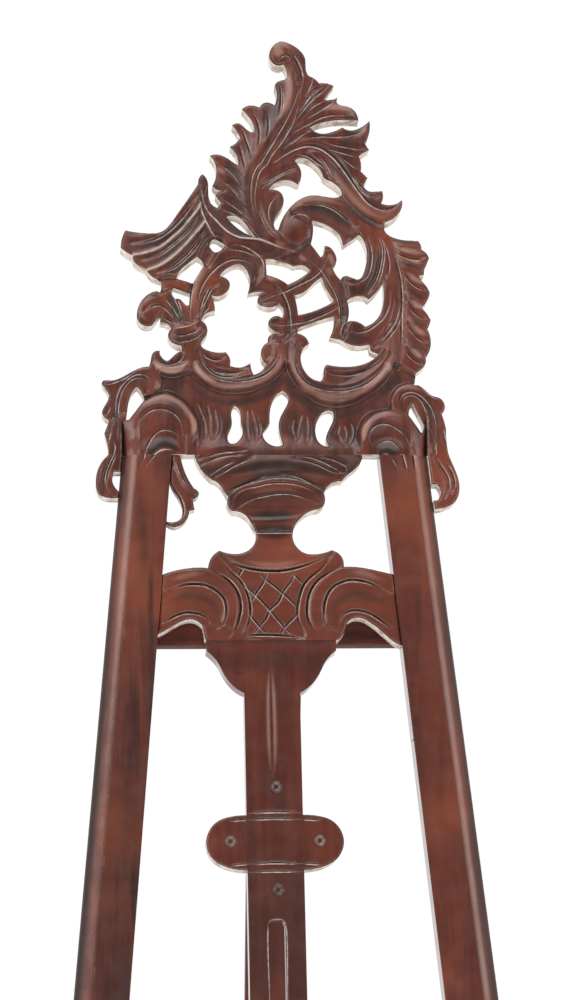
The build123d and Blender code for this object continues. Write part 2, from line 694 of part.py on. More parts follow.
with BuildPart() as right_ear_drop:
    board(RIGHT_DROP_OUTLINE, 0, CREST_T, CARVE_X)
    add(right_leg.part, mode=Mode.SUBTRACT)

with BuildPart() as inner_tendril:
    board(TENDRIL_OUTLINE, TENDRIL_DEPTH, CREST_T - 2 * TENDRIL_DEPTH, CARVE_X)
    add(left_leg.part, mode=Mode.SUBTRACT)

# --- mast ---------------------------------------------------------------------
with BuildPart() as mast:
    slab(MAST_X - MAST_W / 2, MAST_X + MAST_W / 2, MAST_FOOT_V, BLOCK_V, MAST_DEPTH, MAST_T)
    # the slot that the tray's tongue slides in
    with BuildSketch(panel_plane(MAST_DEPTH, MAST_X)):
        with Locations((0, (SLOT_TOP_V + SLOT_END_V) / 2)):
            RectangleRounded(SLOT_W, SLOT_TOP_V - SLOT_END_V, SLOT_CORNER)
    extrude(amount=-MAST_T, mode=Mode.SUBTRACT)
    # long lens-shaped flute
    axis_depth = MAST_DEPTH - (FLUTE_R - FLUTE_DEPTH)
    with BuildSketch(panel_plane(axis_depth, MAST_X)):
        with BuildLine():
            flute_mid = (FLUTE_R, (FLUTE_TOP_V + FLUTE_END_V) / 2)
            ThreePointArc((0, FLUTE_END_V), flute_mid, (0, FLUTE_TOP_V))
            Line((0, FLUTE_TOP_V), (0, FLUTE_END_V))
        make_face()
    flute_axis = Axis(panel_point(MAST_X, FLUTE_END_V, axis_depth), UP_SLOPE)
    revolve(axis=flute_axis, mode=Mode.SUBTRACT)
    ogee_head(-MAST_W / 2, MAST_W)
    for v in DIMPLES_V:
        dimple(DIMPLE_X, v)
    for v in MAST_GROOVES_V:
        groove(-MAST_W / 2, MAST_W / 2, v)
    mast_dowels(BLOCK_V, HOLE_R, HOLE_HALF, Mode.SUBTRACT)
    mast_dowels(MAST_FOOT_V, HOLE_R, HOLE_HALF, Mode.SUBTRACT)

with BuildPart() as mast_shoulder_right:
    board(SHOULDER_OUTLINE, MAST_DEPTH, MAST_T, MAST_X)
    ogee_head(MAST_W / 2, HEAD_HALF - MAST_W / 2)
    # keep the ogee inside the shoulder's own outline
    board(SHOULDER_OUTLINE, 0, MAST_DEPTH + MAST_T, MAST_X, Mode.INTERSECT)

with BuildPart() as mast_shoulder_left:
    mirror(mast_shoulder_right.part, about=Plane.YZ.offset(MAST_X))

with BuildPart() as boss_ear_right:
    board(BOSS_OUTLINE, MAST_DEPTH, MAST_T, MAST_X)
    dimple(BOSS_DIMPLE_X, BOSS_DIMPLE_V)
    for v in BOSS_GROOVES_V:
        groove(MAST_W / 2, BOSS_DIMPLE_X, v)

with BuildPart() as boss_ear_left:
    mirror(boss_ear_right.part, about=Plane.YZ.offset(MAST_X))

# --- rear rail, hinge and rear leg ----------------------------------------------
with BuildPart() as rear_rail:
    slab(-REAR_RAIL_HALF, REAR_RAIL_HALF, REAR_RAIL_LOW_V, REAR_RAIL_HIGH_V, LEG_T, REAR_RAIL_T)
    rail_screw_set(PLAY, Mode.SUBTRACT)
    leaf_screws_rail(PLAY, Mode.SUBTRACT)

with BuildPart() as hinge_leaf_fixed:
    slab(REAR_X - LEAF_W / 2, REAR_X + LEAF_W / 2, PIN_V, PIN_V + LEAF_LONG, RAIL_BACK, LEAF_T)
    for x in (-LEAF_W / 2, LEAF_W / 2 - KNUCKLE):
        rod(PIN_AT + Vector(x, 0, 0), (1, 0, 0), BARREL_R, KNUCKLE)
    rod(PIN_AT - Vector(LEAF_W / 2 - KNUCKLE, 0, 0), (1, 0, 0), BARREL_R + BARREL_PLAY,
        LEAF_W - 2 * KNUCKLE, Mode.SUBTRACT)
    rod(PIN_AT - Vector(LEAF_W / 2, 0, 0), (1, 0, 0), PIN_R + PLAY, LEAF_W, Mode.SUBTRACT)
    leaf_screws_rail(PLAY, Mode.SUBTRACT)

with BuildPart() as hinge_leaf_moving:
    with BuildSketch(rear_plane(PIN_BEHIND - LEAF_T)):
        with Locations((0, -LEAF_LONG / 2)):
            Rectangle(LEAF_W, LEAF_LONG)
    extrude(amount=-LEAF_T)
    middle_w = LEAF_W - 2 * KNUCKLE - 2 * KNUCKLE_GAP
    for x in (-LEAF_W / 2, middle_w / 2):
        rod(PIN_AT + Vector(x, 0, 0), (1, 0, 0), BARREL_R + BARREL_PLAY,
            KNUCKLE + KNUCKLE_GAP, Mode.SUBTRACT)
    rod(PIN_AT - Vector(middle_w / 2, 0, 0), (1, 0, 0), BARREL_R, middle_w)
    rod(PIN_AT - Vector(LEAF_W / 2, 0, 0), (1, 0, 0), PIN_R + PLAY, LEAF_W, Mode.SUBTRACT)
    leaf_screws_rear(PLAY, Mode.SUBTRACT)

with BuildPart() as hinge_pin:
    rod(PIN_AT - Vector(LEAF_W / 2, 0, 0), (1, 0, 0), PIN_R, LEAF_W)

with BuildPart() as rear_leg:
    with BuildSketch(rear_plane(PIN_BEHIND)):
        with Locations((0, HEEL - REAR_LEG_LONG / 2)):
            Rectangle(REAR_LEG_W, REAR_LEG_LONG)
    extrude(amount=-REAR_LEG_T)
    # bevelled heel that rests flat on the fixed leaf when the leg is open
    with BuildSketch(panel_plane(RAIL_BACK + LEAF_T, REAR_X)):
        with Locations((0, PIN_V)):
            Rectangle(2 * REAR_LEG_W, 4 * HEEL)
    extrude(amount=RAIL_BACK, mode=Mode.SUBTRACT)
    trim_floor()
    leaf_screws_rear(PLAY, Mode.SUBTRACT)

# --- tray and clamp -------------------------------------------------------------
with BuildPart() as tray_shelf:
    slab(MAST_X - TRAY_HALF, MAST_X + TRAY_HALF, TRAY_SHELF_LOW_V,
         TRAY_SHELF_LOW_V + TRAY_SHELF_T, -TRAY_SHELF_TO, TRAY_SHELF_TO + BOLT_FRONT)
    tray_screw_set(PLAY, Mode.SUBTRACT)

with BuildPart() as tray_lip:
    board(LIP_OUTLINE, -TRAY_SHELF_TO - LIP_T, LIP_T, MAST_X)

with BuildPart() as tray_back:
    board(BACK_OUTLINE, BOLT_FRONT, BACK_T, MAST_X)
    tray_screw_set(PLAY, Mode.SUBTRACT)
    rod(panel_point(MAST_X, TRAY_V, BOLT_FRONT), BACKWARD, BOLT_R + PLAY, BACK_T, Mode.SUBTRACT)

with BuildPart() as tray_tongue:
    with BuildSketch(panel_plane(MAST_FRONT, MAST_X)):
        with Locations((0, TRAY_V)):
            RectangleRounded(TONGUE_W, 2 * TONGUE_HALF_LONG, SLOT_CORNER)
    extrude(amount=-(MAST_T - TONGUE_SHORT))
    rod(panel_point(MAST_X, TRAY_V, MAST_FRONT), BACKWARD, BOLT_R + PLAY, MAST_T, Mode.SUBTRACT)

with BuildPart() as clamp_bolt:
    rod(panel_point(MAST_X, TRAY_V, BOLT_FRONT - BOLT_HEAD_T), BACKWARD, BOLT_HEAD_R, BOLT_HEAD_T)
    rod(panel_point(MAST_X, TRAY_V, BOLT_FRONT), BACKWARD, BOLT_R, NUT_AT + NUT_T + BOLT_PROUD - BOLT_FRONT)

with BuildPart() as clamp_plate:
    with BuildSketch(panel_plane(MAST_BACK, MAST_X)):
        with Locations((0, TRAY_V)):
            RectangleRounded(PLATE_W, PLATE_LONG, PLATE_CORNER)
    extrude(amount=-PLATE_T)
    rod(panel_point(MAST_X, TRAY_V, MAST_BACK), BACKWARD, BOLT_R + PLAY, PLATE_T, Mode.SUBTRACT)

with BuildPart() as clamp_washer:
    rod(panel_point(MAST_X, TRAY_V, MAST_BACK + PLATE_T), BACKWARD, WASHER_R, WASHER_T)
    rod(panel_point(MAST_X, TRAY_V, MAST_BACK + PLATE_T), BACKWARD, BOLT_R + PLAY, WASHER_T, Mode.SUBTRACT)

with BuildPart() as wing_nut:
    rod(panel_point(MAST_X, TRAY_V, NUT_AT), BACKWARD, NUT_R, NUT_T)
    with BuildSketch(panel_plane(NUT_AT + WING_T, MAST_X)):
        with Locations((-WING_X, TRAY_V), (WING_X, TRAY_V)):
            Ellipse(WING_LONG / 2, WING_WIDE / 2)
        with Locations((0, TRAY_V)):
            Rectangle(2 * WING_X, WING_T)
    extrude(amount=-WING_T)
    rod(panel_point(MAST_X, TRAY_V, NUT_AT), BACKWARD, BOLT_R + PLAY, NUT_T, Mode.SUBTRACT)

# --- fasteners ------------------------------------------------------------------
with BuildPart() as crest_dowels:
    for side in (-1, 1):
        leg_top_dowels(side, DOWEL_R, DOWEL_HALF)
    urn_dowels(DOWEL_R, DOWEL_HALF)

with BuildPart() as rail_dowels:
    for side in (-1, 1):
        side_dowels(side, ARM_DOWELS_V + LOWER_DOWELS_V, DOWEL_R, DOWEL_HALF)

with BuildPart() as mast_dowel_set:
    neck_dowel(DOWEL_R, DOWEL_HALF)
    mast_dowels(BLOCK_V, DOWEL_R, DOWEL_HALF)
    mast_dowels(MAST_FOOT_V, DOWEL_R, DOWEL_HALF)

with BuildPart() as rail_screws:
    rail_screw_set(0)

with BuildPart() as hinge_screws_rail:
    leaf_screws_rail(0)

with BuildPart() as hinge_screws_leg:
    leaf_screws_rear(0)

with BuildPart() as tray_screws:
    tray_screw_set(0)

PARTS = {
    "crest_panel": crest_panel,
    "urn_splat": urn_splat,
    "lattice_rail": lattice_rail,
    "lower_rail": lower_rail,
    "left_leg": left_leg,
    "right_leg": right_leg,
    "left_foot": left_foot,
    "right_foot": right_foot,
    "left_ear_drop": left_ear_drop,
    "right_ear_drop": right_ear_drop,
    "inner_tendril": inner_tendril,
    "mast": mast,
    "mast_shoulder_left": mast_shoulder_left,
    "mast_shoulder_right": mast_shoulder_right,
    "boss_ear_left": boss_ear_left,
    "boss_ear_right": boss_ear_right,
    "rear_rail": rear_rail,
    "hinge_leaf_fixed": hinge_leaf_fixed,
    "hinge_leaf_moving": hinge_leaf_moving,
    "hinge_pin": hinge_pin,
    "rear_leg": rear_leg,
    "tray_shelf": tray_shelf,
    "tray_lip": tray_lip,
    "tray_back": tray_back,
    "tray_tongue": tray_tongue,
    "clamp_bolt": clamp_bolt,
    "clamp_plate": clamp_plate,
    "clamp_washer": clamp_washer,
    "wing_nut": wing_nut,
    "crest_dowels": crest_dowels,
    "rail_dowels": rail_dowels,
    "mast_dowels": mast_dowel_set,
    "rail_screws": rail_screws,
    "hinge_screws_rail": hinge_screws_rail,
    "hinge_screws_leg": hinge_screws_leg,
    "tray_screws": tray_screws,
}
os.makedirs("parts", exist_ok=True)
for label, builder in PARTS.items():
    builder.part.label = label
    export_step(builder.part, f"parts/{label}.step")
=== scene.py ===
import json
import math

import bmesh
import bpy
import numpy as np
from mathutils import Matrix, Vector
from mathutils.geometry import delaunay_2d_cdt


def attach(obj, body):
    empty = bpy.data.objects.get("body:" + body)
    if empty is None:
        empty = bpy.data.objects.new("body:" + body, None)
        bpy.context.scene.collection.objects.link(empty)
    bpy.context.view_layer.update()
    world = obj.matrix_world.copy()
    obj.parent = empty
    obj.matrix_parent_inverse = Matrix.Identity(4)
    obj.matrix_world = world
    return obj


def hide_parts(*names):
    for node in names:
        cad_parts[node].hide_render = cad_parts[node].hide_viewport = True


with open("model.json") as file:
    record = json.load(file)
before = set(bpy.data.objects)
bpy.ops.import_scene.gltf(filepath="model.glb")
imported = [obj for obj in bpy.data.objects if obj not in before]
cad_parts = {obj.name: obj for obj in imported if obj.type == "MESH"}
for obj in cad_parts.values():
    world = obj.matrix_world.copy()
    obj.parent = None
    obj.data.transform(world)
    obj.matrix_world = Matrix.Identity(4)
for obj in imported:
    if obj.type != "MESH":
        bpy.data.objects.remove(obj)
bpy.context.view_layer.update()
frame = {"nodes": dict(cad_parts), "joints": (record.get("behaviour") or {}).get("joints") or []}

# The carved mahogany display easel.  Every carved board is a relief: its outline comes from the
# back face of the CAD node, and its face is a height map, cut along the gouge lines listed below.
# Those lines are in millimetres on the board: u across from the carving's centre line, v up the
# slope.

MM = 0.001
CARVE_X = -5.0          # centre line of the hand-carved boards
MAST_X = -8.5           # centre line of the mast

# --- the leaning frame --------------------------------------------------------------
tray_slide = next(j for j in frame["joints"] if j["name"] == "tray_slide")
SIN, COS = tray_slide["axis"][1], tray_slide["axis"][2]
leg_points = np.array([p.co for p in frame["nodes"]["left_leg"].data.vertices])
BASE_Y = float((leg_points[:, 1] - leg_points[:, 2] * SIN / COS).min()) / MM


def to_world(x, v, depth):
    """Points of the frame, in metres, from x, slope height and depth behind the legs' faces."""
    x, v, depth = np.broadcast_arrays(x, v, depth)
    y = BASE_Y + v * SIN + depth * COS
    return np.stack([x, y, v * COS - depth * SIN], -1) * MM


def to_panel(points):
    """x, slope height and depth, in mm, of points of the frame in metres."""
    p = np.asarray(points, float) / MM
    y = p[:, 1] - BASE_Y
    return np.stack([p[:, 0], y * SIN + p[:, 2] * COS, y * COS - p[:, 2] * SIN], -1)


# --- gouge lines --------------------------------------------------------------------
# Each is a run of points on a smooth curve.  VEINS are V cuts with a soft hollow beside them, LINES
# and LIPS thin raised edges, RIDGES broad ones and HOLLOWS round channels.
TALL_LEAF_VEINS = [
    [(27.5, 1913), (33, 1906), (38, 1897), (40.5, 1889), (41.5, 1880), (42.5, 1870)],
    [(35.5, 1888), (36.5, 1868), (35, 1860), (31, 1850), (25, 1837), (18, 1824), (11, 1812), (5, 1801),
     (-1, 1791), (-6, 1783), (-9, 1780), (-13, 1772), (-15.3, 1762), (-16, 1750), (-15.5, 1740),
     (-14, 1732), (-11.5, 1722), (-7, 1713), (-2, 1706.5)],
    [(40, 1870), (39, 1858), (35, 1845), (30, 1830), (23, 1817), (15, 1805), (7, 1794), (1, 1783),
     (-5, 1777), (-9, 1767), (-11, 1757), (-12, 1747), (-11, 1734), (-8, 1724), (-4, 1715)],
    [(53.5, 1883), (44, 1859)],
    [(67, 1876), (50, 1862), (37, 1842)],
    [(72, 1875), (53, 1859), (43, 1847), (34, 1833)],
    [(66, 1857.5), (55, 1852), (44, 1842)],
    [(79, 1859), (70, 1853), (60, 1846), (50, 1839), (44, 1834)],
    [(93, 1841), (80, 1841.2), (70, 1840.5), (60, 1837.5), (50, 1832), (40, 1826), (30, 1819),
     (26.5, 1815)],
    [(50, 1823.5), (40, 1818), (30, 1810), (20, 1802)],
    [(108, 1825), (100, 1820.5), (90, 1817.5), (75, 1816.5), (60, 1816.5), (50, 1815), (39, 1812)],
    [(110, 1802.5), (100, 1802.5), (90, 1804), (75, 1807), (62, 1810.5)],
    [(100, 1793), (90, 1796), (80, 1799), (70, 1802), (63, 1804.5)],
    [(101, 1778), (90, 1786), (80, 1795)],
    [(88, 1782), (91, 1776), (96, 1766), (101, 1758), (108, 1751), (118, 1746)],
    [(32, 1796), (43, 1795), (52, 1790), (60, 1783), (66, 1773)],
    [(57, 1794), (64, 1786), (70, 1776), (74.5, 1763)],
    [(32, 1780.5), (23, 1777), (13, 1772), (5, 1767), (-5, 1760)],
    [(32.5, 1777.5), (20, 1773.5), (9, 1767), (0, 1760), (-5, 1755)],
    [(17.5, 1875.5), (18.5, 1865), (18, 1850), (15, 1835.5)],
    [(20, 1870), (20.5, 1855), (18, 1838)],
    [(4, 1843), (5, 1830), (4, 1820), (1, 1810)],
    [(-13.5, 1846), (-9, 1838), (-6, 1829), (-5, 1820), (-6, 1808), (-9.5, 1795.5)],
    [(-26, 1827), (-22, 1820), (-19, 1810), (-16, 1800), (-15, 1786)],
    [(-28, 1809), (-25, 1800), (-23, 1790), (-21.5, 1782), (-21.2, 1771)],
    [(-50, 1788), (-42, 1781), (-34, 1774), (-27, 1764), (-22, 1754)],
    [(-49, 1767.5), (-41, 1763.5), (-33, 1755.5), (-27, 1747), (-23, 1738.5)],
    [(-48, 1747.5), (-38, 1741), (-28, 1733), (-21, 1726), (-16, 1720.5)],
    [(-47, 1734), (-37, 1730.5), (-28, 1726), (-21, 1721), (-17, 1717)],
    [(-5, 1742), (-5, 1730), (-2, 1720), (3, 1710), (9, 1703), (18.5, 1699)],
    [(12, 1749), (5, 1741), (2, 1732), (3, 1720), (7, 1712)],
]
SECOND_LEAF_LINES = [
    [(10, 1785), (20, 1793), (30, 1799), (40, 1803), (48, 1803.8), (58, 1801.5), (66, 1796.5),
     (74, 1789), (82, 1778), (92, 1762), (100, 1750), (105, 1743), (112, 1737), (120, 1733),
     (126, 1732.5), (134, 1735), (139, 1739)],
]
SECOND_LEAF_VEINS = [
    [(34, 1796.5), (42, 1795.5), (50, 1791.5), (57, 1784), (62, 1775)],
    [(58, 1794), (64, 1786), (69, 1777), (73.5, 1764)],
    [(91, 1778), (95, 1769), (100, 1759), (106, 1752), (116, 1746)],
    [(94, 1775), (98, 1766), (104, 1757.5), (112, 1751), (119, 1748)],
]
SCROLL_VEINS = [
    [(40, 1740), (60, 1740), (75, 1733), (87, 1722), (94, 1714)],
    [(104, 1710), (107, 1700), (109, 1690), (109.5, 1680), (108, 1670), (104, 1660), (98, 1655),
     (90, 1650), (83, 1651)],
    [(115, 1708), (118.5, 1700), (120.5, 1690), (120, 1680), (118, 1670), (115, 1660), (110, 1650),
     (104, 1641)],
    [(117.5, 1709), (121, 1700), (123, 1690), (122.5, 1680), (120.5, 1670), (117.5, 1659),
     (112.5, 1648.5), (106.5, 1639.5)],
    [(128.5, 1645), (127.5, 1635), (125, 1625), (120, 1615), (113, 1608), (105, 1602), (97, 1599),
     (88, 1599), (81, 1602)],
    [(137, 1637), (136, 1625), (133, 1613), (128, 1604), (121, 1595), (114, 1588), (109, 1583)],
    [(139.6, 1626), (137.4, 1614), (132.5, 1603), (125.5, 1593.5), (117.5, 1585.5), (111, 1580)],
    [(130, 1691), (140, 1684), (150, 1680), (160, 1679), (168.5, 1681)],
    [(141, 1667), (146, 1659), (152, 1652), (160, 1646.5), (168, 1643.5)],
    [(146, 1629), (151, 1622), (157, 1617), (163, 1614), (169, 1613)],
    [(144, 1608), (149, 1600), (155, 1593), (161, 1588.5), (168, 1586.5)],
    [(142, 1580), (146, 1573), (152, 1567.5), (158, 1564), (162, 1563.5)],
    [(-41, 1689), (-32, 1689), (-23, 1687.5), (-15, 1684), (-8, 1680)],
    [(-74, 1612), (-74.5, 1620), (-73, 1630), (-71, 1640), (-68, 1648), (-63, 1657), (-57, 1664.5),
     (-50, 1671), (-40, 1677), (-31, 1678.5), (-22, 1677), (-15, 1673), (-12.5, 1667), (-13.5, 1659),
     (-17, 1653)],
    [(-57, 1651), (-62, 1645), (-66, 1637), (-69, 1628), (-71, 1615)],
    [(-50, 1649), (-58, 1645), (-63, 1636), (-68, 1624), (-69, 1617)],
    [(-60, 1627), (-65, 1621), (-68, 1616)],
    [(-108, 1640), (-103, 1632), (-97, 1624), (-92, 1615), (-88, 1606.5)],
    [(-103, 1648), (-97, 1638), (-92, 1627), (-87, 1612), (-85, 1606)],
    [(-127, 1617.5), (-121, 1623.5), (-116, 1626.3), (-111, 1626.5), (-106, 1624), (-102, 1620),
     (-97, 1614), (-92, 1607)],
    [(-109, 1614), (-105, 1612), (-100, 1608.5), (-96, 1605)],
]
WING_VEINS = [
    [(-140, 1691.5), (-130, 1693.5), (-120, 1696.5), (-110, 1701), (-100, 1708.5), (-92, 1717),
     (-85, 1725.5), (-78, 1735), (-72, 1742.5), (-69.5, 1745.5)],
    [(-128, 1674), (-118, 1678), (-108, 1684), (-98, 1692), (-90, 1699), (-80, 1709), (-71, 1723)],
    [(-126, 1677), (-117, 1681), (-108, 1687), (-98, 1695), (-90, 1702), (-80, 1713), (-73, 1725)],
    [(-113, 1660.5), (-105, 1664), (-98, 1667.5), (-90, 1673), (-80, 1683), (-72, 1693), (-64, 1707)],
    [(-112, 1663.5), (-104, 1667), (-96, 1672), (-88, 1678.5), (-80, 1687), (-73, 1696.5), (-67, 1708)],
]
WING_LINES = [
    [(-139, 1680.3), (-130, 1682), (-120, 1685), (-113, 1688.5), (-105, 1694), (-97, 1701),
     (-89, 1708.5), (-82, 1717), (-76, 1724.5), (-71, 1731.5), (-67.5, 1738.5)],
    [(-124, 1664.8), (-117, 1667), (-110, 1670.5), (-102, 1676), (-95, 1682), (-87, 1690), (-80, 1698),
     (-73, 1706.5), (-67, 1714), (-64, 1718.5)],
    [(-67, 1757), (-66.5, 1750), (-65, 1742), (-62, 1733), (-58, 1727), (-52, 1720.5), (-46, 1713.5),
     (-38, 1706.5), (-28, 1701.8), (-10, 1700), (0, 1696.5), (13, 1691.5), (25, 1688), (32.5, 1686.5)],
    [(-68, 1738), (-66.5, 1729), (-63.5, 1721), (-60, 1714), (-56, 1706), (-52.5, 1701.5)],
]
KNOT_VEINS = [
    [(-99, 1594), (-92, 1593.5), (-84, 1594.8), (-75, 1599), (-69, 1604.5)],
    [(-100, 1589), (-92, 1587), (-84, 1588), (-76, 1591), (-70, 1596), (-66, 1600)],
]
STRAP_VEINS = [
    [(67, 1690), (57, 1669), (48, 1660), (40, 1655.5), (30, 1650), (20, 1645), (15, 1643.3), (5, 1639),
     (-3, 1635), (-8, 1632.5)],
    [(37, 1686), (57, 1669), (63, 1660), (69, 1649), (74, 1637), (76, 1627), (76.5, 1617), (76, 1605),
     (75, 1592)],
    [(2, 1655), (8, 1650.5), (13, 1645.5), (18, 1636), (21, 1627), (22.5, 1617), (23, 1608),
     (22.5, 1598), (19.5, 1590)],
    [(1, 1607.5), (10, 1607), (20, 1608), (30, 1609.5), (40, 1611.5), (50, 1615.5), (60, 1620),
     (70, 1625), (76, 1628), (80, 1630.5)],
]
BOWL_LINES = [
    [(-122, 1566), (-118, 1560), (-113, 1555), (-107, 1552), (-100, 1551), (-92, 1552), (-85, 1555),
     (-81, 1556.5)],
    [(-79.5, 1556), (-74, 1549), (-68, 1544), (-60, 1539), (-50, 1535.5), (-40, 1534.7), (-30, 1535),
     (-20, 1536.7), (-12, 1539.5), (-3, 1544), (6, 1551), (13, 1558.5), (17, 1565), (18, 1575),
     (17, 1585), (11, 1597)],
    [(19, 1586), (18.5, 1575), (19.5, 1566), (24, 1553), (29, 1543.5), (35, 1535.5), (43, 1528.5),
     (52, 1523.5), (62, 1520.8), (72, 1520.5), (82, 1522.5), (92, 1527), (102, 1533), (112, 1540.5),
     (121, 1550), (128, 1560), (132, 1570), (134, 1580), (136, 1592), (137.5, 1603)],
]
BOWL_VEINS = [
    [(-117, 1570), (-113, 1565), (-107, 1563), (-101, 1563), (-94, 1566), (-89, 1571), (-86, 1576)],
    [(-76, 1578), (-72, 1567), (-66, 1557.5), (-58, 1550), (-48, 1545.5), (-38, 1543.5), (-28, 1543.7),
     (-18, 1545.5), (-8, 1549), (1, 1555), (7, 1562), (11, 1570), (12, 1580), (10, 1587)],
    [(-69, 1577), (-64, 1571.5), (-58, 1568.5), (-52, 1567.8), (-45, 1569.5)],
    [(-63, 1560.5), (-55, 1556), (-45, 1554), (-35, 1554), (-27, 1556), (-20, 1558)],
    [(37, 1588), (31, 1583), (28, 1576), (27, 1568), (28, 1559), (32, 1550), (38, 1542.5), (46, 1537.5),
     (56, 1535), (66, 1534), (76, 1534), (86, 1535.5), (95, 1538.5), (104, 1544), (112, 1550.5),
     (119, 1558), (124, 1566), (127, 1575)],
    [(58, 1555.5), (65, 1552.8), (75, 1552), (85, 1552.5), (95, 1555), (105, 1559), (113, 1564.5),
     (119, 1570), (124, 1577)],
]
REED_LINES = [
    [(-73, 1521), (-69, 1510), (-66, 1500), (-65, 1485)],
    [(-63, 1519), (-60.5, 1508), (-60, 1490), (-58, 1483.5)],
    [(-55.5, 1515), (-53.5, 1495), (-58, 1483)],
    [(-22.5, 1514), (-22, 1490), (-20, 1482)],
    [(-18, 1515), (-13.5, 1496), (-13, 1482.5)],
    [(-9.5, 1500), (-9, 1493), (-12, 1484)],
    [(25, 1504), (23.5, 1495), (27.5, 1482)],
    [(33.5, 1509), (30, 1494), (29.5, 1484)],
    [(39, 1507), (39.5, 1497), (39, 1480)],
    [(72, 1497), (71, 1490), (77, 1476.5)],
    [(77, 1498), (79, 1490), (78, 1480)],
    [(84, 1500), (86, 1491), (82, 1477.5)],
]
CAP_VEINS = [
    [(-135.5, 1493), (-133, 1501), (-128, 1507), (-121, 1512), (-113, 1513.3), (-106, 1512.5),
     (-99, 1509), (-93, 1503), (-90, 1495), (-89, 1479)],
    [(-131, 1456), (-130, 1463), (-128, 1471), (-124, 1479), (-119, 1485.5), (-113, 1489.8),
     (-107, 1490.8), (-101, 1489.5), (-95, 1485.5), (-90.5, 1480)],
    [(106, 1471), (101.5, 1478), (100.5, 1485), (102.5, 1491), (107, 1495.5), (113, 1498), (119, 1498),
     (126, 1495.5), (133, 1490.5), (139, 1484), (143, 1476), (145.5, 1468)],
    [(106.5, 1470.5), (109, 1475), (114, 1478.8), (120, 1480.3), (126, 1478.5), (131, 1474),
     (134.5, 1467)],
]
VOLUTE_VEINS = [
    [(122, 1701), (125, 1690), (127, 1680), (127.5, 1670), (125.5, 1660), (122, 1656)],
    [(128, 1700), (134, 1682), (139, 1662), (140.5, 1640), (139.5, 1620), (138.5, 1600), (137, 1580),
     (133, 1562)],
    [(16, 1899), (20, 1904.5), (25, 1906.5), (29, 1905), (31, 1900)],
    [(-73, 1580), (-69, 1570), (-64, 1560.5), (-56, 1553), (-47, 1549.5), (-38, 1549), (-30, 1550),
     (-22, 1552.5)],
    [(-59, 1681), (-65, 1671), (-73, 1659), (-77, 1650), (-79.5, 1638), (-80.5, 1628), (-81, 1615),
     (-79, 1605)],
]
VOLUTE_LINES = [
    [(23.5, 1718.5), (27, 1723.5), (33, 1727.8), (39, 1728.5), (44, 1726.5), (48, 1722)],
    [(83, 1610), (78, 1606), (75.5, 1598), (76.5, 1591)],
    [(-99.5, 1600.5), (-92, 1601.5), (-84, 1603), (-77, 1606), (-70, 1610.5)],
    [(-94, 1634), (-91, 1628), (-88.5, 1618)],
    [(-40, 1693), (-30, 1693.5), (-20, 1690.5), (-12, 1685), (-6, 1679), (-3, 1671), (-4, 1660),
     (-9, 1650)],
]
# deep crescents where each cap curls over, and the pale lips below them
CAP_HOLLOWS = [
    [(-125, 1456), (-122, 1467), (-116, 1475.5), (-108, 1478), (-100, 1475.5), (-94, 1470)],
    [(111, 1461), (114, 1469), (120, 1471.5), (126, 1467), (130, 1458)],
]
CAP_LIPS = [
    [(-127, 1453.5), (-124, 1459.5), (-119, 1465.5), (-113, 1469.5), (-107, 1470.8), (-101, 1470.3),
     (-99, 1468.5)],
    [(112.5, 1462), (116, 1465), (120, 1465.5), (125, 1462.5), (128.5, 1457), (130, 1450)],
]
LEG_CUTS = {
    "left_leg": [CAP_VEINS[1][:4], CAP_LIPS[0][:4]],
    "right_leg": [
        [(139, 1484), (143, 1476), (146, 1468), (147.5, 1457), (149, 1446)],
        [(131, 1474), (134.5, 1467), (137, 1457), (139.5, 1444)],
        CAP_LIPS[1][2:],
    ],
}
FEATHER_RIDGES = [
    [(140, 1677), (152, 1671), (166, 1666)],
    [(143, 1641), (150, 1634), (160, 1627)],
    [(148, 1613), (157, 1605), (165, 1600)],
    [(144, 1588), (154, 1579), (162, 1573)],
    [(136, 1695), (148, 1692), (160, 1691)],
]
FEATHER_HOLLOW = [(128, 1700), (135, 1680), (140, 1660), (141, 1640), (140, 1620), (139, 1600),
                  (138, 1580), (134, 1560)]
EAR_VEINS = [
    [(-158.5, 1497), (-158.7, 1510), (-158, 1525), (-154, 1537), (-149, 1543.5), (-143, 1549),
     (-136, 1552.2), (-129, 1552), (-123, 1548.5), (-120.5, 1543), (-121, 1538), (-124, 1534.5)],
    [(-156, 1480), (-156, 1515), (-153, 1530), (-148.5, 1539), (-142, 1546), (-135, 1548.5),
     (-129, 1547), (-125, 1543), (-124.5, 1539), (-129, 1532.8)],
    [(-171, 1540.5), (-163, 1542), (-155, 1545), (-148, 1548.5), (-141, 1553), (-135, 1556)],
    [(-164, 1517), (-168, 1506.5)],
    [(-163.5, 1491), (-166.5, 1477)],
    [(141, 1513), (136, 1518), (134.5, 1524), (137, 1530), (142, 1533.5), (149, 1534), (156, 1531),
     (162, 1525), (167, 1518), (170, 1510), (172, 1500), (171.5, 1490), (170.5, 1480)],
    [(140, 1518), (138, 1523), (140, 1528), (145, 1530.5), (151, 1529.5), (157, 1524), (161, 1516),
     (164, 1506), (165.5, 1485)],
    [(158, 1537), (165, 1532), (171, 1527.5), (176, 1524)],
    [(177.5, 1495), (179, 1485), (181, 1475)],
]
DROP_VEINS = [
    [(-160.5, 1480), (-160, 1470), (-164, 1460), (-168, 1450), (-170, 1441), (-169, 1432),
     (-165.5, 1427), (-160, 1423)],
    [(-157, 1470), (-161, 1460), (-165, 1450), (-167.5, 1440), (-167, 1433)],
    [(170, 1465), (174, 1455), (179, 1447), (182, 1440), (182, 1430), (179, 1420)],
    [(177, 1462), (183, 1452), (187, 1443), (188, 1435), (186, 1425)],
]
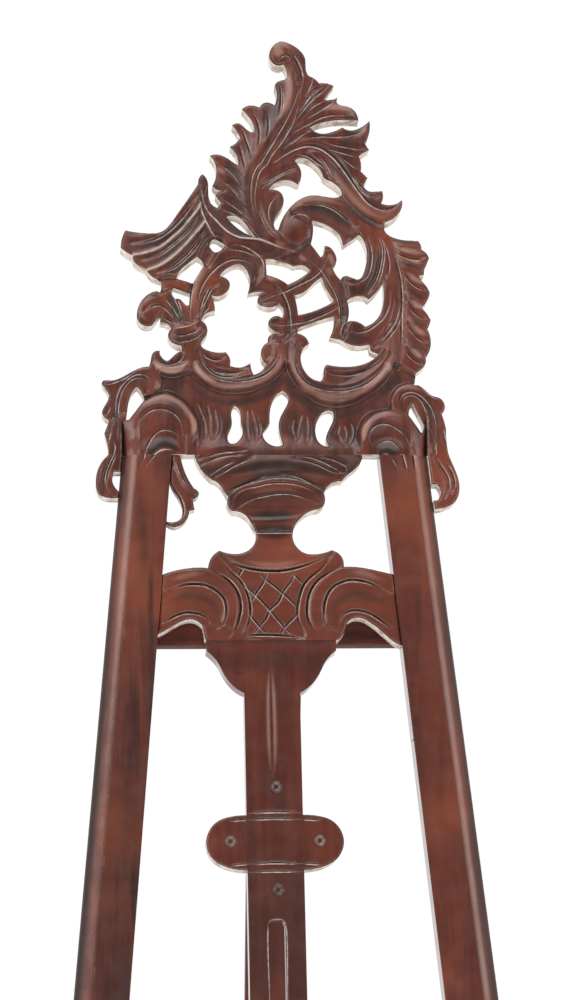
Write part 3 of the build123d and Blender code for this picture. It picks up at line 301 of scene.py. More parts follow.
TENDRIL_VEINS = [
    [(-97, 1466), (-94, 1452), (-88, 1438), (-80, 1429)],
    [(-98, 1430), (-93, 1420), (-90, 1410), (-91, 1402), (-96, 1397.5), (-103, 1395)],
]
TENDRIL_LINE = [(-100, 1466), (-98, 1457), (-95, 1447), (-91, 1438), (-87, 1431), (-82, 1426),
                (-78, 1424)]
URN_VEINS = [
    [(-73, 1460), (-63, 1465), (-52, 1468.5), (-40, 1470), (-25, 1470)],
    [(-71, 1453.5), (-62, 1460), (-52, 1464), (-42, 1466), (-30, 1466.5)],
    [(-63, 1443), (-55, 1450), (-44, 1456.5), (-34, 1460)],
    [(-58.5, 1440), (-50, 1446.5), (-40, 1453), (-28, 1459), (-16, 1464)],
    [(-47, 1425), (-38, 1429.5), (-28, 1434), (-17, 1438.5), (-7, 1442)],
    [(26, 1464), (40, 1464), (50, 1460.5), (60, 1455.5), (68, 1450.5), (75, 1446)],
    [(23, 1461), (35, 1460), (47, 1456), (57, 1451), (66, 1447), (74, 1445.5)],
    [(75, 1446), (78, 1450), (76.5, 1454.5), (70, 1458.5), (62, 1462), (50, 1464.5)],
    [(10, 1445), (22, 1444), (33, 1440), (44, 1434), (52, 1430)],
    [(-40, 1411), (-39, 1419), (-34, 1425), (-26, 1429.5), (-15, 1432), (-5, 1434.5), (8, 1435.5),
     (22, 1434.5), (33, 1431.5), (42, 1426.5), (47, 1420), (49, 1415)],
    [(-36, 1407.5), (-27, 1414), (-18, 1419), (-8, 1421.5), (3, 1423.5), (17, 1424), (28, 1421.5),
     (38, 1417), (48, 1411.5)],
    [(-16, 1386.5), (2, 1386.5), (20, 1386.5)],
]
URN_LINES = [
    [(-45, 1420.5), (-38, 1427), (-30, 1431), (-20, 1434.5), (-10, 1437.5), (0, 1439.3), (12, 1440),
     (25, 1438.5), (35, 1435.5), (45, 1431), (53.5, 1425)],
]
LATTICE_VEINS = [
    [(-113, 1321), (-105, 1324.5), (-97, 1327.5), (-88, 1330), (-80, 1330.5), (-70, 1329.5),
     (-62, 1326), (-55, 1321), (-50, 1314), (-48.5, 1307), (-48.5, 1300), (-50, 1293), (-53, 1288),
     (-58, 1284.5), (-63, 1284)],
    [(-115, 1289.5), (-107, 1293.5), (-98, 1298.5), (-90, 1301), (-82, 1301), (-74, 1299), (-68, 1295),
     (-64.5, 1288)],
    [(122, 1318), (112, 1323), (103, 1328.5), (95, 1332), (85, 1334), (76, 1334), (68, 1331.5),
     (61, 1327.5), (55, 1320), (52, 1312), (50.5, 1303), (50, 1295), (51.5, 1289.5), (55, 1286),
     (60, 1284), (64, 1284)],
    [(125, 1281.5), (115, 1287), (107, 1293), (98, 1299), (90, 1302), (82, 1303), (75, 1301.5),
     (70, 1298), (67, 1292), (66.5, 1288)],
    [(-65.5, 1347.5), (-57, 1342), (-50, 1338), (-44, 1333), (-39, 1327), (-35.5, 1320), (-33.5, 1311),
     (-33.5, 1303), (-35, 1296), (-37, 1289), (-41, 1281), (-46, 1275)],
    [(71, 1350), (62, 1345.5), (53, 1340), (45, 1334), (39, 1326), (35, 1316), (33.5, 1306),
     (33.5, 1297), (36, 1289), (40, 1282), (45, 1276.5)],
    [(-53.5, 1360.5), (-51.5, 1354), (-47, 1348), (-41, 1341.5), (-35, 1336), (-30, 1328.5),
     (-26, 1319), (-24, 1309), (-24, 1299), (-25.5, 1291), (-28, 1284), (-31, 1279.5)],
    [(56, 1360), (54.5, 1354), (51, 1349), (46, 1344), (40, 1339.5), (34, 1334), (30, 1328), (27, 1320),
     (24.5, 1310), (23.5, 1302), (24, 1294), (26.5, 1286), (30, 1279)],
    [(-53, 1360), (-45, 1354.5), (-35, 1350), (-25, 1347), (-12, 1345), (0, 1344.3), (12, 1345),
     (25, 1347.8), (35, 1351), (45, 1355), (55, 1360)],
    [(-34, 1278), (-10, 1278.3), (10, 1277.5), (28, 1276)],
]
LATTICE_CROSSES = [
    [(-30, 1330), (-19, 1320.5), (-4, 1304), (8, 1289), (16, 1280.5)],
    [(-12, 1341), (-8, 1336.5), (9, 1322), (23, 1308)],
    [(21, 1341), (18, 1334), (10, 1323), (4.5, 1312), (-4, 1304), (-8, 1295.5), (-14, 1288.5),
     (-20, 1281)],
    [(-7, 1341), (-10, 1333), (-18, 1321), (-24, 1311)],
    [(23, 1299), (12, 1288), (6, 1280)],
    [(-24, 1299), (-15, 1287.5), (-9, 1281)],
    [(21, 1341), (30, 1332)],
    [(-31, 1347), (-35, 1340)],
]

# Painted shade in the recesses and under overhangs, and painted highlights on the swells: half width, amount,
# lines.
CREST_DARK = (
    (9.0, -0.45, [
        [(-140, 1698), (-121, 1700), (-100, 1712), (-82, 1718)], [(-44, 1714), (-30, 1708), (-10, 1704)],
        [(-84, 1672), (-78, 1660)], [(-124, 1640), (-112, 1630)],
        [(-101, 1626), (-90, 1616), (-80, 1608)], [(-63, 1626), (-62, 1616)]]),
    (9.0, -0.5, [
        [(-72, 1512), (-56, 1514)], [(-22, 1514), (0, 1511), (22, 1511), (44, 1514)]]),
    (7.5, -0.95, [
        [(32, 1732), (45, 1735.5), (60, 1734), (72, 1729), (82, 1720), (88, 1711)]]),
    (5.0, -0.9, [
        [(82, 1745), (92, 1734), (104, 1724), (116, 1717.5), (127, 1716)]]),
    (5.5, -0.85, [
        [(-148, 1688), (-130, 1689.5), (-118, 1692.5), (-108, 1698), (-98, 1706), (-88, 1716),
         (-79, 1727), (-72, 1738)],
        [(-127, 1671), (-116, 1674), (-106, 1680), (-96, 1688), (-86, 1697), (-77, 1707), (-69, 1718)],
        [(-112, 1659), (-100, 1662.5), (-90, 1669), (-80, 1678), (-70, 1690)]]),
    (6.5, -0.8, [
        [(-14, 1690), (2, 1686), (15, 1682), (28, 1680)],
        [(-46, 1727), (-36, 1716), (-22, 1706), (-8, 1700), (6, 1697)],
        [(-104, 1647), (-98, 1632), (-94, 1615), (-90, 1606)],
        [(80, 1650), (92, 1643), (104, 1648), (113, 1665), (116, 1682), (114, 1700)],
        [(80, 1598), (92, 1591), (106, 1592)]]),
    (5.0, -0.7, [
        [(10, 1746), (8, 1730), (9, 1716)],
        [(-14, 1792), (-19, 1772), (-19, 1750), (-16, 1730), (-8, 1714)],
        [(66, 1801), (76, 1790), (86, 1776), (96, 1760), (104, 1750), (113, 1742), (124, 1738.5),
         (134, 1741)],
        [(-64, 1624), (-60, 1638), (-50, 1648)], [(-12.5, 1674), (-12, 1660)],
        [(34, 1613), (50, 1619), (70, 1629)], [(80, 1626), (80, 1602)], [(4, 1613), (12, 1612)],
        [(46, 1697), (38, 1692.5), (33, 1688), (27, 1676)]]),
    (4.5, -0.7, [
        [(134, 1699), (146, 1697.5), (160, 1697)], [(140, 1677), (150, 1672.5), (164, 1670)],
        [(147, 1647), (155, 1640), (165, 1634)], [(149, 1616), (156, 1609), (166, 1603)],
        [(146, 1591), (154, 1583), (164, 1578)], [(-38, 1750), (-28, 1742), (-20, 1733)],
        [(-40, 1771), (-30, 1762), (-24, 1750)], [(-36, 1783), (-28, 1772), (-22, 1762)],
        [(-20, 1812), (-17, 1800), (-14, 1788)], [(-4, 1843), (0, 1828), (-2, 1812)],
        [(56, 1852), (44, 1843), (34, 1833)], [(70, 1819), (54, 1818), (40, 1815)],
        [(90, 1808), (76, 1810)], [(88, 1799), (76, 1803)]]),
    (8.0, -0.75, [
        [(-112, 1543), (-98, 1541), (-84, 1545), (-74, 1536), (-60, 1527), (-40, 1523), (-20, 1525),
         (0, 1534), (16, 1548), (30, 1530), (48, 1514), (66, 1509), (86, 1512), (104, 1522),
         (120, 1537), (132, 1552)]]),
    (5.0, -0.7, [
        [(-150, 1533), (-144, 1543), (-136, 1547.5), (-128, 1547), (-125, 1542)],
        [(-158, 1496), (-158, 1512), (-155, 1526)],
        [(168, 1500), (166, 1512), (160, 1523), (150, 1529), (142, 1527)], [(150, 1480), (152, 1498)],
        [(-152, 1500), (-152, 1480)]]),
    (5.0, -0.6, [
        [(-70, 1510), (-72, 1490), (-80, 1472)], [(90, 1502), (88, 1485), (92, 1470)]]),
    (5.0, -0.7, [
        [(-72, 1562), (-64, 1552), (-52, 1546), (-38, 1544), (-24, 1546), (-10, 1550), (2, 1559),
         (8, 1572)],
        [(33, 1576), (32, 1560), (40, 1546), (56, 1539), (72, 1538), (90, 1540), (106, 1548),
         (120, 1562)]]),
    (15.0, -0.58, [
        [(-70, 1500), (-30, 1496), (0, 1496), (30, 1496), (66, 1490), (84, 1488)]]),
    (9.0, -0.6, [
        [(112, 1527), (120, 1534), (130, 1546), (144, 1550)]]),
    (9.0, -0.45, [
        [(-98, 1594), (-84, 1590), (-70, 1597)], [(-76, 1470), (-30, 1469), (30, 1469), (84, 1470)]]),
)
CREST_LIGHT = (
    (5.5, 0.45, [
        [(82, 1717), (92, 1708)], [(115, 1695), (122, 1684)], [(24, 1672), (27, 1662)],
        [(64, 1670), (68, 1662)], [(35, 1563), (48, 1554)], [(120, 1564), (130, 1553)],
        [(24, 1538), (38, 1533)], [(66, 1537), (82, 1532)]]),
    (5.5, 0.7, [
        [(18, 1716), (22, 1728), (30, 1737.5), (42, 1744.5), (55, 1746), (70, 1743), (80, 1739)]]),
    (6.5, 0.5, [
        [(54, 1791), (65, 1781), (75, 1768), (85, 1754), (96, 1740), (109, 1729.5), (122, 1724.5),
         (134, 1729)]]),
    (7.0, 0.75, [
        [(11, 1914), (19, 1921), (29, 1914)],
        [(21, 1898), (27, 1880), (27, 1862), (22, 1846), (14, 1830)],
        [(62, 1846), (78, 1850), (92, 1846), (97, 1838)], [(14, 1907), (21, 1911)]]),
    (4.5, 0.85, [
        [(96, 1536), (108, 1545), (120, 1559), (128, 1574)],
        [(-77, 1566), (-72, 1556), (-64, 1548), (-56, 1543)],
        [(-118, 1563), (-110, 1557), (-100, 1555), (-91, 1557.5), (-84, 1564)],
        [(-81, 1508), (-77.5, 1497), (-79, 1486)], [(95, 1480), (97, 1493), (103, 1502)]]),
    (4.5, 0.6, [
        [(-5, 1742), (-3, 1727), (3, 1713), (12, 1702)], [(94, 1814), (104, 1821), (110, 1830)],
        [(-130, 1634), (-132, 1620), (-126, 1609)], [(-77, 1622), (-76, 1640), (-70, 1657), (-58, 1672)],
        [(-5.5, 1673), (-6, 1661), (-12, 1649)], [(34, 1684), (42, 1677)], [(66, 1687), (70, 1672)],
        [(-148, 1702), (-128, 1701), (-112, 1705), (-98, 1714)], [(90, 1702), (84, 1698)],
        [(-2, 1660), (10, 1655)], [(-50, 1779), (-42, 1774)], [(-43, 1808), (-36, 1800)],
        [(-20, 1839), (-14, 1830)]]),
    (4.5, 0.7, [
        [(136, 1691), (150, 1688), (166, 1685)], [(143, 1681), (156, 1676), (163, 1675)],
        [(146, 1665), (155, 1657), (167, 1651)], [(148, 1634), (156, 1628), (166, 1623)],
        [(148, 1607), (156, 1600), (166, 1595)], [(147, 1581), (156, 1573), (160, 1570)],
        [(132, 1700), (138, 1688), (137, 1676)]]),
    (5.0, 0.5, [
        [(-77, 1561), (-70, 1551), (-60, 1543.5), (-48, 1539.5), (-34, 1539), (-20, 1541), (-7, 1546),
         (4, 1553), (12, 1563), (15, 1575)],
        [(23, 1575), (24, 1560), (31, 1547), (41, 1536.5), (54, 1529), (68, 1527), (82, 1528.5),
         (96, 1534), (108, 1542), (120, 1552.5), (129, 1566), (132, 1582)],
        [(-118, 1566), (-110, 1558.5), (-100, 1557), (-90, 1560), (-84, 1567)]]),
    (5.0, 0.65, [
        [(-138, 1508), (-127, 1520), (-109, 1526), (-93, 1520), (-82, 1506), (-79, 1493), (-84, 1480)],
        [(96, 1480), (99, 1494), (109, 1505), (122, 1509), (136, 1506)]]),
    (4.0, 0.6, [
        [(-148, 1552), (-136, 1557.5), (-124, 1557)],
        [(128, 1528), (134, 1536.5), (146, 1539), (158, 1535)],
        [(-116, 1546), (-114, 1540), (-119, 1536)]]),
    (5.0, 0.45, [
        [(-76, 1602), (-68, 1600)], [(20, 1693), (8, 1697)]]),
)
URN_TINTS = (
    (8.0, -0.4, [
        [(-72, 1450), (-44, 1447)], [(-20, 1446), (0, 1447), (22, 1446)]]),
    (8.0, -0.65, [
        [(-46, 1445), (-20, 1453), (5, 1455), (30, 1453), (62, 1443)]]),
    (5.0, -0.75, [
        [(-48, 1424), (-30, 1434), (0, 1442.5), (28, 1441), (56, 1429)]]),
    (9.0, -0.75, [
        [(-18, 1403), (2, 1400), (22, 1403)], [(-20, 1387), (2, 1385), (24, 1387)]]),
    (4.0, 0.6, [
        [(-34, 1426), (-10, 1434), (12, 1435.5), (34, 1430)], [(-66, 1458), (-48, 1465), (-30, 1467)],
        [(36, 1462), (54, 1456), (68, 1449)]]),
    (5.5, 0.55, [
        [(-37, 1414), (-20, 1424), (0, 1428), (20, 1427.5), (42, 1417)]]),
)
RAIL_TINTS = (
    (6.0, -0.8, [
        [(-14, 1381), (2, 1380), (18, 1381)]]),
    (8.0, -0.5, [
        [(-110, 1309), (-90, 1318), (-70, 1316), (-58, 1304), (-60, 1292)],
        [(118, 1306), (94, 1319), (74, 1318), (61, 1306), (62, 1292)]]),
    (6.0, 0.45, [
        [(-30, 1355), (-10, 1350.5), (10, 1350.5), (30, 1355)], [(-70, 1341), (-84, 1340), (-104, 1334)],
        [(78, 1343), (92, 1341), (110, 1334)]]),
)

# areas raised or sunk before the lines are cut: height, width of the soft edge, outline
GROUND_LIFTS = (
    # sunk grounds: between bowls and caps, the bar under the wing, the gallery
    (-4.5, 2.2, [(-112, 1553.5), (-104, 1551.5), (-96, 1551.5), (-88, 1553.5), (-81, 1556), (-74, 1549),
     (-68, 1544), (-60, 1539), (-50, 1535.5), (-40, 1534.5), (-30, 1535), (-20, 1536.7),
     (-3, 1544), (6, 1551), (13, 1558.5), (18, 1566), (22, 1555), (28, 1544.5),
     (34, 1536.5), (43, 1528.5), (52, 1523.5), (62, 1520.8), (72, 1520.5), (82, 1522.5),
     (92, 1527), (102, 1533), (112, 1540.5), (121, 1550), (128, 1560), (131, 1566),
     (141, 1560), (151, 1553), (153, 1543), (145, 1543), (136, 1540.5), (129, 1534),
     (125, 1525), (125, 1516), (104, 1511), (94, 1500), (91, 1484), (95, 1466), (98, 1440),
     (-82, 1440), (-76, 1470), (-72, 1490), (-76, 1508), (-88, 1524), (-104, 1533),
     (-118, 1530), (-128, 1524), (-130, 1527), (-122, 1530), (-115, 1533.5), (-111, 1538),
     (-110, 1545)]),
    (-5.0, 2.5, [(-112, 1641), (-97, 1646), (-82, 1640), (-75, 1651), (-93, 1659), (-112, 1657)]),
    (-4.0, 3.0, [(-70, 1676), (-62, 1669), (-52, 1685), (-46, 1699), (-56, 1703), (-66, 1692)]),
    # straps lie lower than the scrolls that hold them
    (-3.0, 3.0, [(33, 1690), (46, 1700), (60, 1688), (78, 1692), (78, 1662), (84, 1640), (84, 1606),
     (76, 1590), (60, 1592), (30, 1600), (16, 1588), (2, 1588), (-4, 1600), (-2, 1612),
     (10, 1628), (-12, 1628), (-22, 1640), (-16, 1652), (0, 1664), (12, 1680)]),
    # second leaf's rolled edge, in front of the upper scroll
    (3.4, 1.6, [(56, 1799), (70, 1788), (84, 1771), (97, 1751), (107, 1738.5), (121, 1731.5),
     (134, 1734.5), (146, 1748), (146, 1730), (134, 1718), (122, 1714), (110, 1719),
     (98, 1727), (87, 1738), (79, 1748), (70, 1760), (64, 1774), (57, 1786), (46, 1798)]),
    # inside of the upper scroll
    (-3.2, 2.6, [(24, 1733), (32, 1738.5), (45, 1740), (60, 1739.5), (75, 1733), (86, 1724), (94, 1713),
     (99, 1704), (84, 1690), (74, 1702), (66, 1712), (52, 1719), (44, 1716), (36, 1722),
     (28, 1728)]),
)
WING_BACK = [(-58, 1770), (-90, 1765), (-160, 1720), (-160, 1676)]
TALL_LEAF_LIFTS = (
    # tall leaf and its neighbours in front of the scrolls
    (2.6, 9.0, [(20, 1925), (50, 1895), (52, 1860), (36, 1830), (10, 1795), (-4, 1765), (-4, 1735),
     (8, 1712), (24, 1700), (2, 1694), (-12, 1712), (-22, 1740), (-24, 1772), (-14, 1800),
     (10, 1840), (18, 1880), (4, 1900), (8, 1920)]),
)
CAP_LIFTS = (
    # caps over the legs
    (2.6, 2.4, [(-160, 1440), (-160, 1502), (-140, 1513), (-130, 1521.5), (-118, 1528), (-105, 1530.5),
     (-93, 1524.5), (-80.5, 1509.5), (-75, 1495), (-79.5, 1479.5), (-88, 1466), (-88, 1440)]),
    (2.6, 2.4, [(93, 1440), (92, 1466), (93.5, 1488), (96, 1496), (101, 1504), (108, 1509.5),
     (117, 1512.5), (127, 1513), (138, 1509.5), (150, 1503), (166, 1492), (166, 1440)]),
    # and their broad swelling
    (3.4, 14.0, [(-150, 1440), (-142, 1500), (-130, 1514), (-110, 1520), (-92, 1511), (-86, 1494),
     (-94, 1470), (-98, 1440)]),
    (3.4, 14.0, [(104, 1440), (103, 1480), (108, 1496), (122, 1503), (138, 1500), (150, 1486),
     (156, 1440)]),
)
URN_HOLLOW = [(-40, 1444), (-10, 1452), (15, 1453), (60, 1442)]
URN_BODY = [(-46, 1421), (-30, 1431), (0, 1439), (25, 1438), (45, 1431), (54, 1425), (54, 1408),
            (-46, 1403)]
RAIL_LIFTS = (
    (-1.6, 2.0, [(-56, 1364), (-46, 1349), (-34, 1335), (-26, 1318), (-25, 1296), (-31, 1277),
     (31, 1275), (24, 1296), (26, 1317), (36, 1334), (50, 1348), (62, 1364), (30, 1350),
     (0, 1346), (-30, 1350)]),
    (1.8, 3.0, [(-120, 1342), (-90, 1346), (-66, 1346), (-44, 1330), (-36, 1306), (-42, 1284),
     (-52, 1290), (-49, 1308), (-60, 1325), (-82, 1331), (-104, 1325), (-120, 1318)]),
    (1.8, 3.0, [(122, 1342), (92, 1347), (70, 1348), (46, 1331), (36, 1306), (42, 1284), (52, 1290),
     (50, 1308), (62, 1328), (84, 1334), (104, 1328), (122, 1318)]),
)
CREST_DOMES = (      # centre, radius and height
    ((19, 1911), 15, 3.8),
    ((32, 1712), 18.5, 5.0),
    ((80, 1607), 9, 2.0),
    ((90, 1652), 8, 1.5),
    ((-122, 1622), 14, 2.2),
    ((-85, 1592), 16, 3.0),
)

# --- sizes, in mm -------------------------------------------------------------------
LEG_OUTER = 172.0       # half width over the legs at LEG_REF_V
LEG_OUTER_SLOPE = 0.0927
LEG_REF_V = 1300.0
OVOLO_W = 17.0          # moulded outer edge
OVOLO_D = 10.0
EDGE_TILT = 4.0
LEG_TONE = {-1: -0.42, 1: 0.0}      # the left leg darker towards its foot
QUIRK = 1.2             # step from the face to the moulding
BETWEEN_LEGS = 86.0     # half the space between the legs at the crest
SEAM_V = 1466.0         # where the crest sits on the legs
SEAM_FADES = (26, 20)   # how soon the crest levels out above that seam, between the legs and over them
SEAM_DEEP = 2.0         # how far the ground lies back at that seam, between the legs
URN_FADE = 14           # and how far down the urn board that goes on
EDGE_START = 8          # the legs' moulded edges begin to fade this far above the seam
EDGE_FADE = 40
DARKENING_TOP = 1330        # where the left leg starts to darken, and how far lower down it is at its darkest
DARKENING_RUN = 260
MAST_HALF = 28.0
MAST_SEAMS = ((1036.0, 1102.0), (1206.0, 1273.0))     # where ears and shoulders meet the mast
JOINTS = (SEAM_V, 1383.0, 1272.3, 395.0)    # slope heights where boards butt together
CELL = 0.5              # height map step
MARGIN = 10.0           # height map beyond the outline
EDGE_REACH = 7.0
SMALLEST_OPENING = 12.0
COARSE = 2.2            # mesh point spacing on smooth ground
MIDDLE = 1.35           # where the surface bends
FINE = 0.68             # and along the gouge lines
BUSY = 0.05             # how far the surface must turn away from its surroundings
RIM_STEP = 0.9          # along the outline
PALE_WIDTH = 0.85       # half width of a pale line: wear and painted highlight
EDGE_WEAR_AND_HIGHLIGHT = 0.45        # how pale convex edges get, as wear and painted highlight
ROW_RISE = 0.866        # rows of a triangular grid, as a share of its spacing
JOINT_NEAR = 0.4        # edges this near a joint between boards are not rounded
MAST_NEAR = 0.3
WAVE = 0.07             # unevenness left by the scraper
CARVED_ANGLE = 52       # degrees from which an edge is shaded sharp, on carved boards
PLAIN_ANGLE = 38        # and on plain ones
EASED_ANGLE = 28        # and degrees from which a plain board's edge is eased
FOOT_RUN = 40           # how far up the legs their cut ends are evened out
LOWER_SIDE = np.array([0.35, -1.0])         # the side on which a cut's wall is steep and pale along its top, as wear and painted highlight


# --- relief carving -----------------------------------------------------------------
def smooth_line(points, step=CELL, closed=False):
    """Points about step apart on a smooth curve through the given ones."""
    p = np.array(points, float)
    if len(p) == 2:
        t = np.linspace(0, 1, max(2, int(np.linalg.norm(p[1] - p[0]) / step) + 1))[:, None]
        return p[0] * (1 - t) + p[1] * t
    if closed:
        run = np.vstack([p[-1], p, p[0], p[1]])
    else:
        run = np.vstack([2 * p[0] - p[1], p, 2 * p[-1] - p[-2]])
    pieces = []
    for a, b, c, d in zip(run[:-3], run[1:-2], run[2:-1], run[3:]):
        tb = max(np.linalg.norm(b - a), 1e-6) ** 0.5
        tc = tb + max(np.linalg.norm(c - b), 1e-6) ** 0.5
        td = tc + max(np.linalg.norm(d - c), 1e-6) ** 0.5
        n = max(2, int(np.linalg.norm(c - b) / step) + 1)
        t = np.linspace(tb, tc, n, endpoint=False)[:, None]
        a1 = (tb - t) / tb * a + t / tb * b
        a2 = (tc - t) / (tc - tb) * b + (t - tb) / (tc - tb) * c
        a3 = (td - t) / (td - tc) * c + (t - tc) / (td - tc) * d
        b1 = (tc - t) / tc * a1 + t / tc * a2
        b2 = (td - t) / (td - tb) * a2 + (t - tb) / (td - tb) * a3
        pieces.append((tc - t) / (tc - tb) * b1 + (t - tb) / (tc - tb) * b2)
    if not closed:
        pieces.append(p[-1:])
    return np.vstack(pieces)


def sideways(line):
    """Unit vectors square to a line."""
    along = np.gradient(line, axis=0)
    along /= np.linalg.norm(along, axis=1)[:, None]
    return np.stack([-along[:, 1], along[:, 0]], -1)


def rings(edges):
    """Closed runs of points, from edges that follow one another."""
    follow = dict(edges)
    found = []
    while follow:
        start, here = follow.popitem()
        ring = [start]
        while here != start:
            ring.append(here)
            here = follow.pop(here)
        found.append(ring)
    return found


def resampled(loop, step):
    """A closed loop with its points no more than step apart, its corners kept."""
    out = []
    for a, b in zip(loop, np.roll(loop, -1, axis=0)):
        n = max(1, int(math.ceil(np.linalg.norm(b - a) / step)))
        out.append(a + (b - a) * (np.arange(n) / n)[:, None])
    return np.vstack(out)


# sections of a gouge's stroke: q is 0 on its line and 1 at its edge
def v_cut(q):
    return np.clip(1 - q, 0, 1) ** 1.1


def tent(q):
    return np.clip(1.06 - np.sqrt(q * q + 0.0036), 0, 1)


def bell(q):
    return np.clip(1 - q * q, 0, 1) ** 2


def flat_top(q):
    return np.clip(1.7 * bell(q), 0, 1)


def round_cut(q):
    return np.sqrt(np.clip(1 - q * q, 0, 1))


class Relief:
    """Height of a carved face over a grid, in mm in front of the board's own face."""

    def __init__(self, loops):
        every = np.vstack(loops)
        self.low = every.min(0) - MARGIN
        columns, rows = np.ceil((every.max(0) + MARGIN - self.low) / CELL).astype(int) + 1
        self.u = self.low[0] + CELL * np.arange(columns)
        self.v = self.low[1] + CELL * np.arange(rows)
        shape = (rows, columns)
        self.inside = self.fill(loops, shape)
        # heights, then how pale (wear and painted highlight), how dark (glaze and painted shade), and the
        # tone: painted highlight above 0, painted shade and plainly darker wood below 0
        self.level, self.cuts, self.hollows, self.rises = np.zeros((4, *shape))
        self.pale, self.dark, self.tone = np.zeros((3, *shape))
        self.creases = []
        self.edge = np.full(shape, EDGE_REACH)
        for loop in loops:
            for x, y in resampled(loop, CELL):
                if min(abs(y - joint) for joint in JOINTS) < JOINT_NEAR:
                    continue
                beside_mast = abs(abs(x) - MAST_HALF) < MAST_NEAR
                if beside_mast and any(low < y < high for low, high in MAST_SEAMS):
                    continue
                window, distance = self.around(x, y, EDGE_REACH)
                if window:
                    np.minimum(self.edge[window], distance, out=self.edge[window])

    def fill(self, loops, shape=None):
        """Which cells lie inside the loops, by the even-odd rule."""
        inside = np.zeros(shape or self.level.shape, bool)
        for loop in loops:
            for (x1, y1), (x2, y2) in zip(loop, np.roll(loop, -1, axis=0)):
                if y1 == y2:
                    continue
                low, high = min(y1, y2), max(y1, y2)
                first = max(0, int(math.ceil((low - self.low[1]) / CELL)))
                last = min(len(self.v), int(math.ceil((high - self.low[1]) / CELL)))
                for row in range(first, last):
                    cross = x1 + (self.v[row] - y1) / (y2 - y1) * (x2 - x1)
                    column = int(math.ceil((cross - self.low[0]) / CELL))
                    inside[row, :max(0, column)] ^= True
        return inside

    def around(self, x, y, reach):
        """Window of the grid within reach of a point, and the distances in it."""
        c0 = max(0, int((x - reach - self.low[0]) / CELL))
        c1 = min(len(self.u), int((x + reach - self.low[0]) / CELL) + 2)
        r0 = max(0, int((y - reach - self.low[1]) / CELL))
        r1 = min(len(self.v), int((y + reach - self.low[1]) / CELL) + 2)
        if c0 >= c1 or r0 >= r1:
            return None, None
        distance = np.hypot(self.u[None, c0:c1] - x, self.v[r0:r1, None] - y)
        return (slice(r0, r1), slice(c0, c1)), distance

    def stroke(self, layer, points, width, size, profile, ends=(0.35, 0.35), fit=True):
        """One pass of a gouge: half width, depth or height, and how narrow it gets at each end."""
        line = smooth_line(points) if fit else points
        s = np.linspace(0, 1, len(line))
        grow = np.minimum(ends[0] + (1 - ends[0]) * s / 0.3, ends[1] + (1 - ends[1]) * (1 - s) / 0.3)
        for (x, y), g in zip(line, np.minimum(grow, 1)):
            window, distance = self.around(x, y, width * g)
            if window:
                made = size * g * profile(distance / (width * g))
                np.maximum(layer[window], made, out=layer[window])

    def veins(self, lines, width=1.05, depth=1.4, hollow_width=4.6, hollow=1.2, pale=0.70, blunt=0.0):
        """Cuts with a steep lower wall painted pale along its top as wear and highlight, glaze and painted
        shade in the cut, and a soft hollow above.
        """
        ends, faint_ends = (max(0.35, blunt),) * 2, (max(0.2, blunt),) * 2
        for points in lines:
            line = smooth_line(points)
            across = sideways(line)
            if (across @ LOWER_SIDE).sum() < 0:
                across = -across
            self.stroke(self.cuts, line, width, depth, v_cut, ends, fit=False)
            self.stroke(self.dark, line - across * 0.2, width, 0.8, round_cut, faint_ends, fit=False)
            self.stroke(self.hollows, line - across * hollow_width * 0.5, hollow_width, hollow, bell,
                        (0.5, 0.5), fit=False)
            self.stroke(self.pale, line + across * (width + 0.1), PALE_WIDTH, pale, flat_top, faint_ends,
                        fit=False)

    def ridges(self, lines, width=1.6, height=1.0, ends=(0.5, 0.5), pale=0.0):
        """Rounded ridges, painted pale along the top as wear and highlight, where pale is above 0."""
        for points in lines:
            self.stroke(self.rises, points, width, height, bell, ends)
            if pale:
                self.stroke(self.pale, points, min(1.6, max(PALE_WIDTH, width * 0.65)), pale, flat_top, ends)

    def tint(self, lines, width, amount, ends=(0.4, 0.4)):
        """Painted shade where amount is negative, painted highlight where it is positive."""
        mark = np.zeros(self.level.shape)
        for points in lines:
            self.stroke(mark, points, width, abs(amount), bell, ends)
        self.tone += math.copysign(1, amount) * mark

    def tints(self, table):
        """Rows of a table: half width, amount, lines."""
        for width, amount, lines in table:
            self.tint(lines, width, amount)

    def lift(self, outline, height, soft):
        """Raise an area, or sink it where height is negative, with edges soft mm wide."""
        area = self.fill([smooth_line(outline, 1.0, closed=True)]).astype(float)
        self.level += height * blurred(area, soft / CELL / 2)

    def lifts(self, table):
        """Rows of a table: height, width of the soft edge, outline."""
        for height, soft, outline in table:
            self.lift(outline, height, soft)

    def dome(self, centre, radius, height):
        """A low round swelling."""
        window, distance = self.around(*centre, radius)
        self.level[window] += height * np.clip(1 - (distance / radius) ** 2, 0, 1) ** 0.85

    def heights(self, rounding):
        """The finished surface, with the outline's edges rounded over."""
        d = np.clip(self.edge / rounding, 0, 1)
        shoulder = rounding * (np.sqrt(1 - (1 - d) ** 2) - 1)
        return self.level + self.rises - self.cuts - self.hollows + shoulder

    def sampled(self, grid, points):
        """Values of a grid at points, by linear interpolation."""
        x = np.clip((points[:, 0] - self.low[0]) / CELL, 0, grid.shape[1] - 1.001)
        y = np.clip((points[:, 1] - self.low[1]) / CELL, 0, grid.shape[0] - 1.001)
        i, j = x.astype(int), y.astype(int)
        fx, fy = x - i, y - j
        low = grid[j, i] * (1 - fx) + grid[j, i + 1] * fx
        high = grid[j + 1, i] * (1 - fx) + grid[j + 1, i + 1] * fx
        return low * (1 - fy) + high * fy


def blurred(grid, sigma):
    """Gaussian blur, sigma in cells."""
    fy = np.fft.fftfreq(grid.shape[0])[:, None]
    fx = np.fft.rfftfreq(grid.shape[1])[None, :]
    kernel = np.exp(-2 * (math.pi * sigma) ** 2 * (fx ** 2 + fy ** 2))
    return np.fft.irfft2(np.fft.rfft2(grid) * kernel, grid.shape)


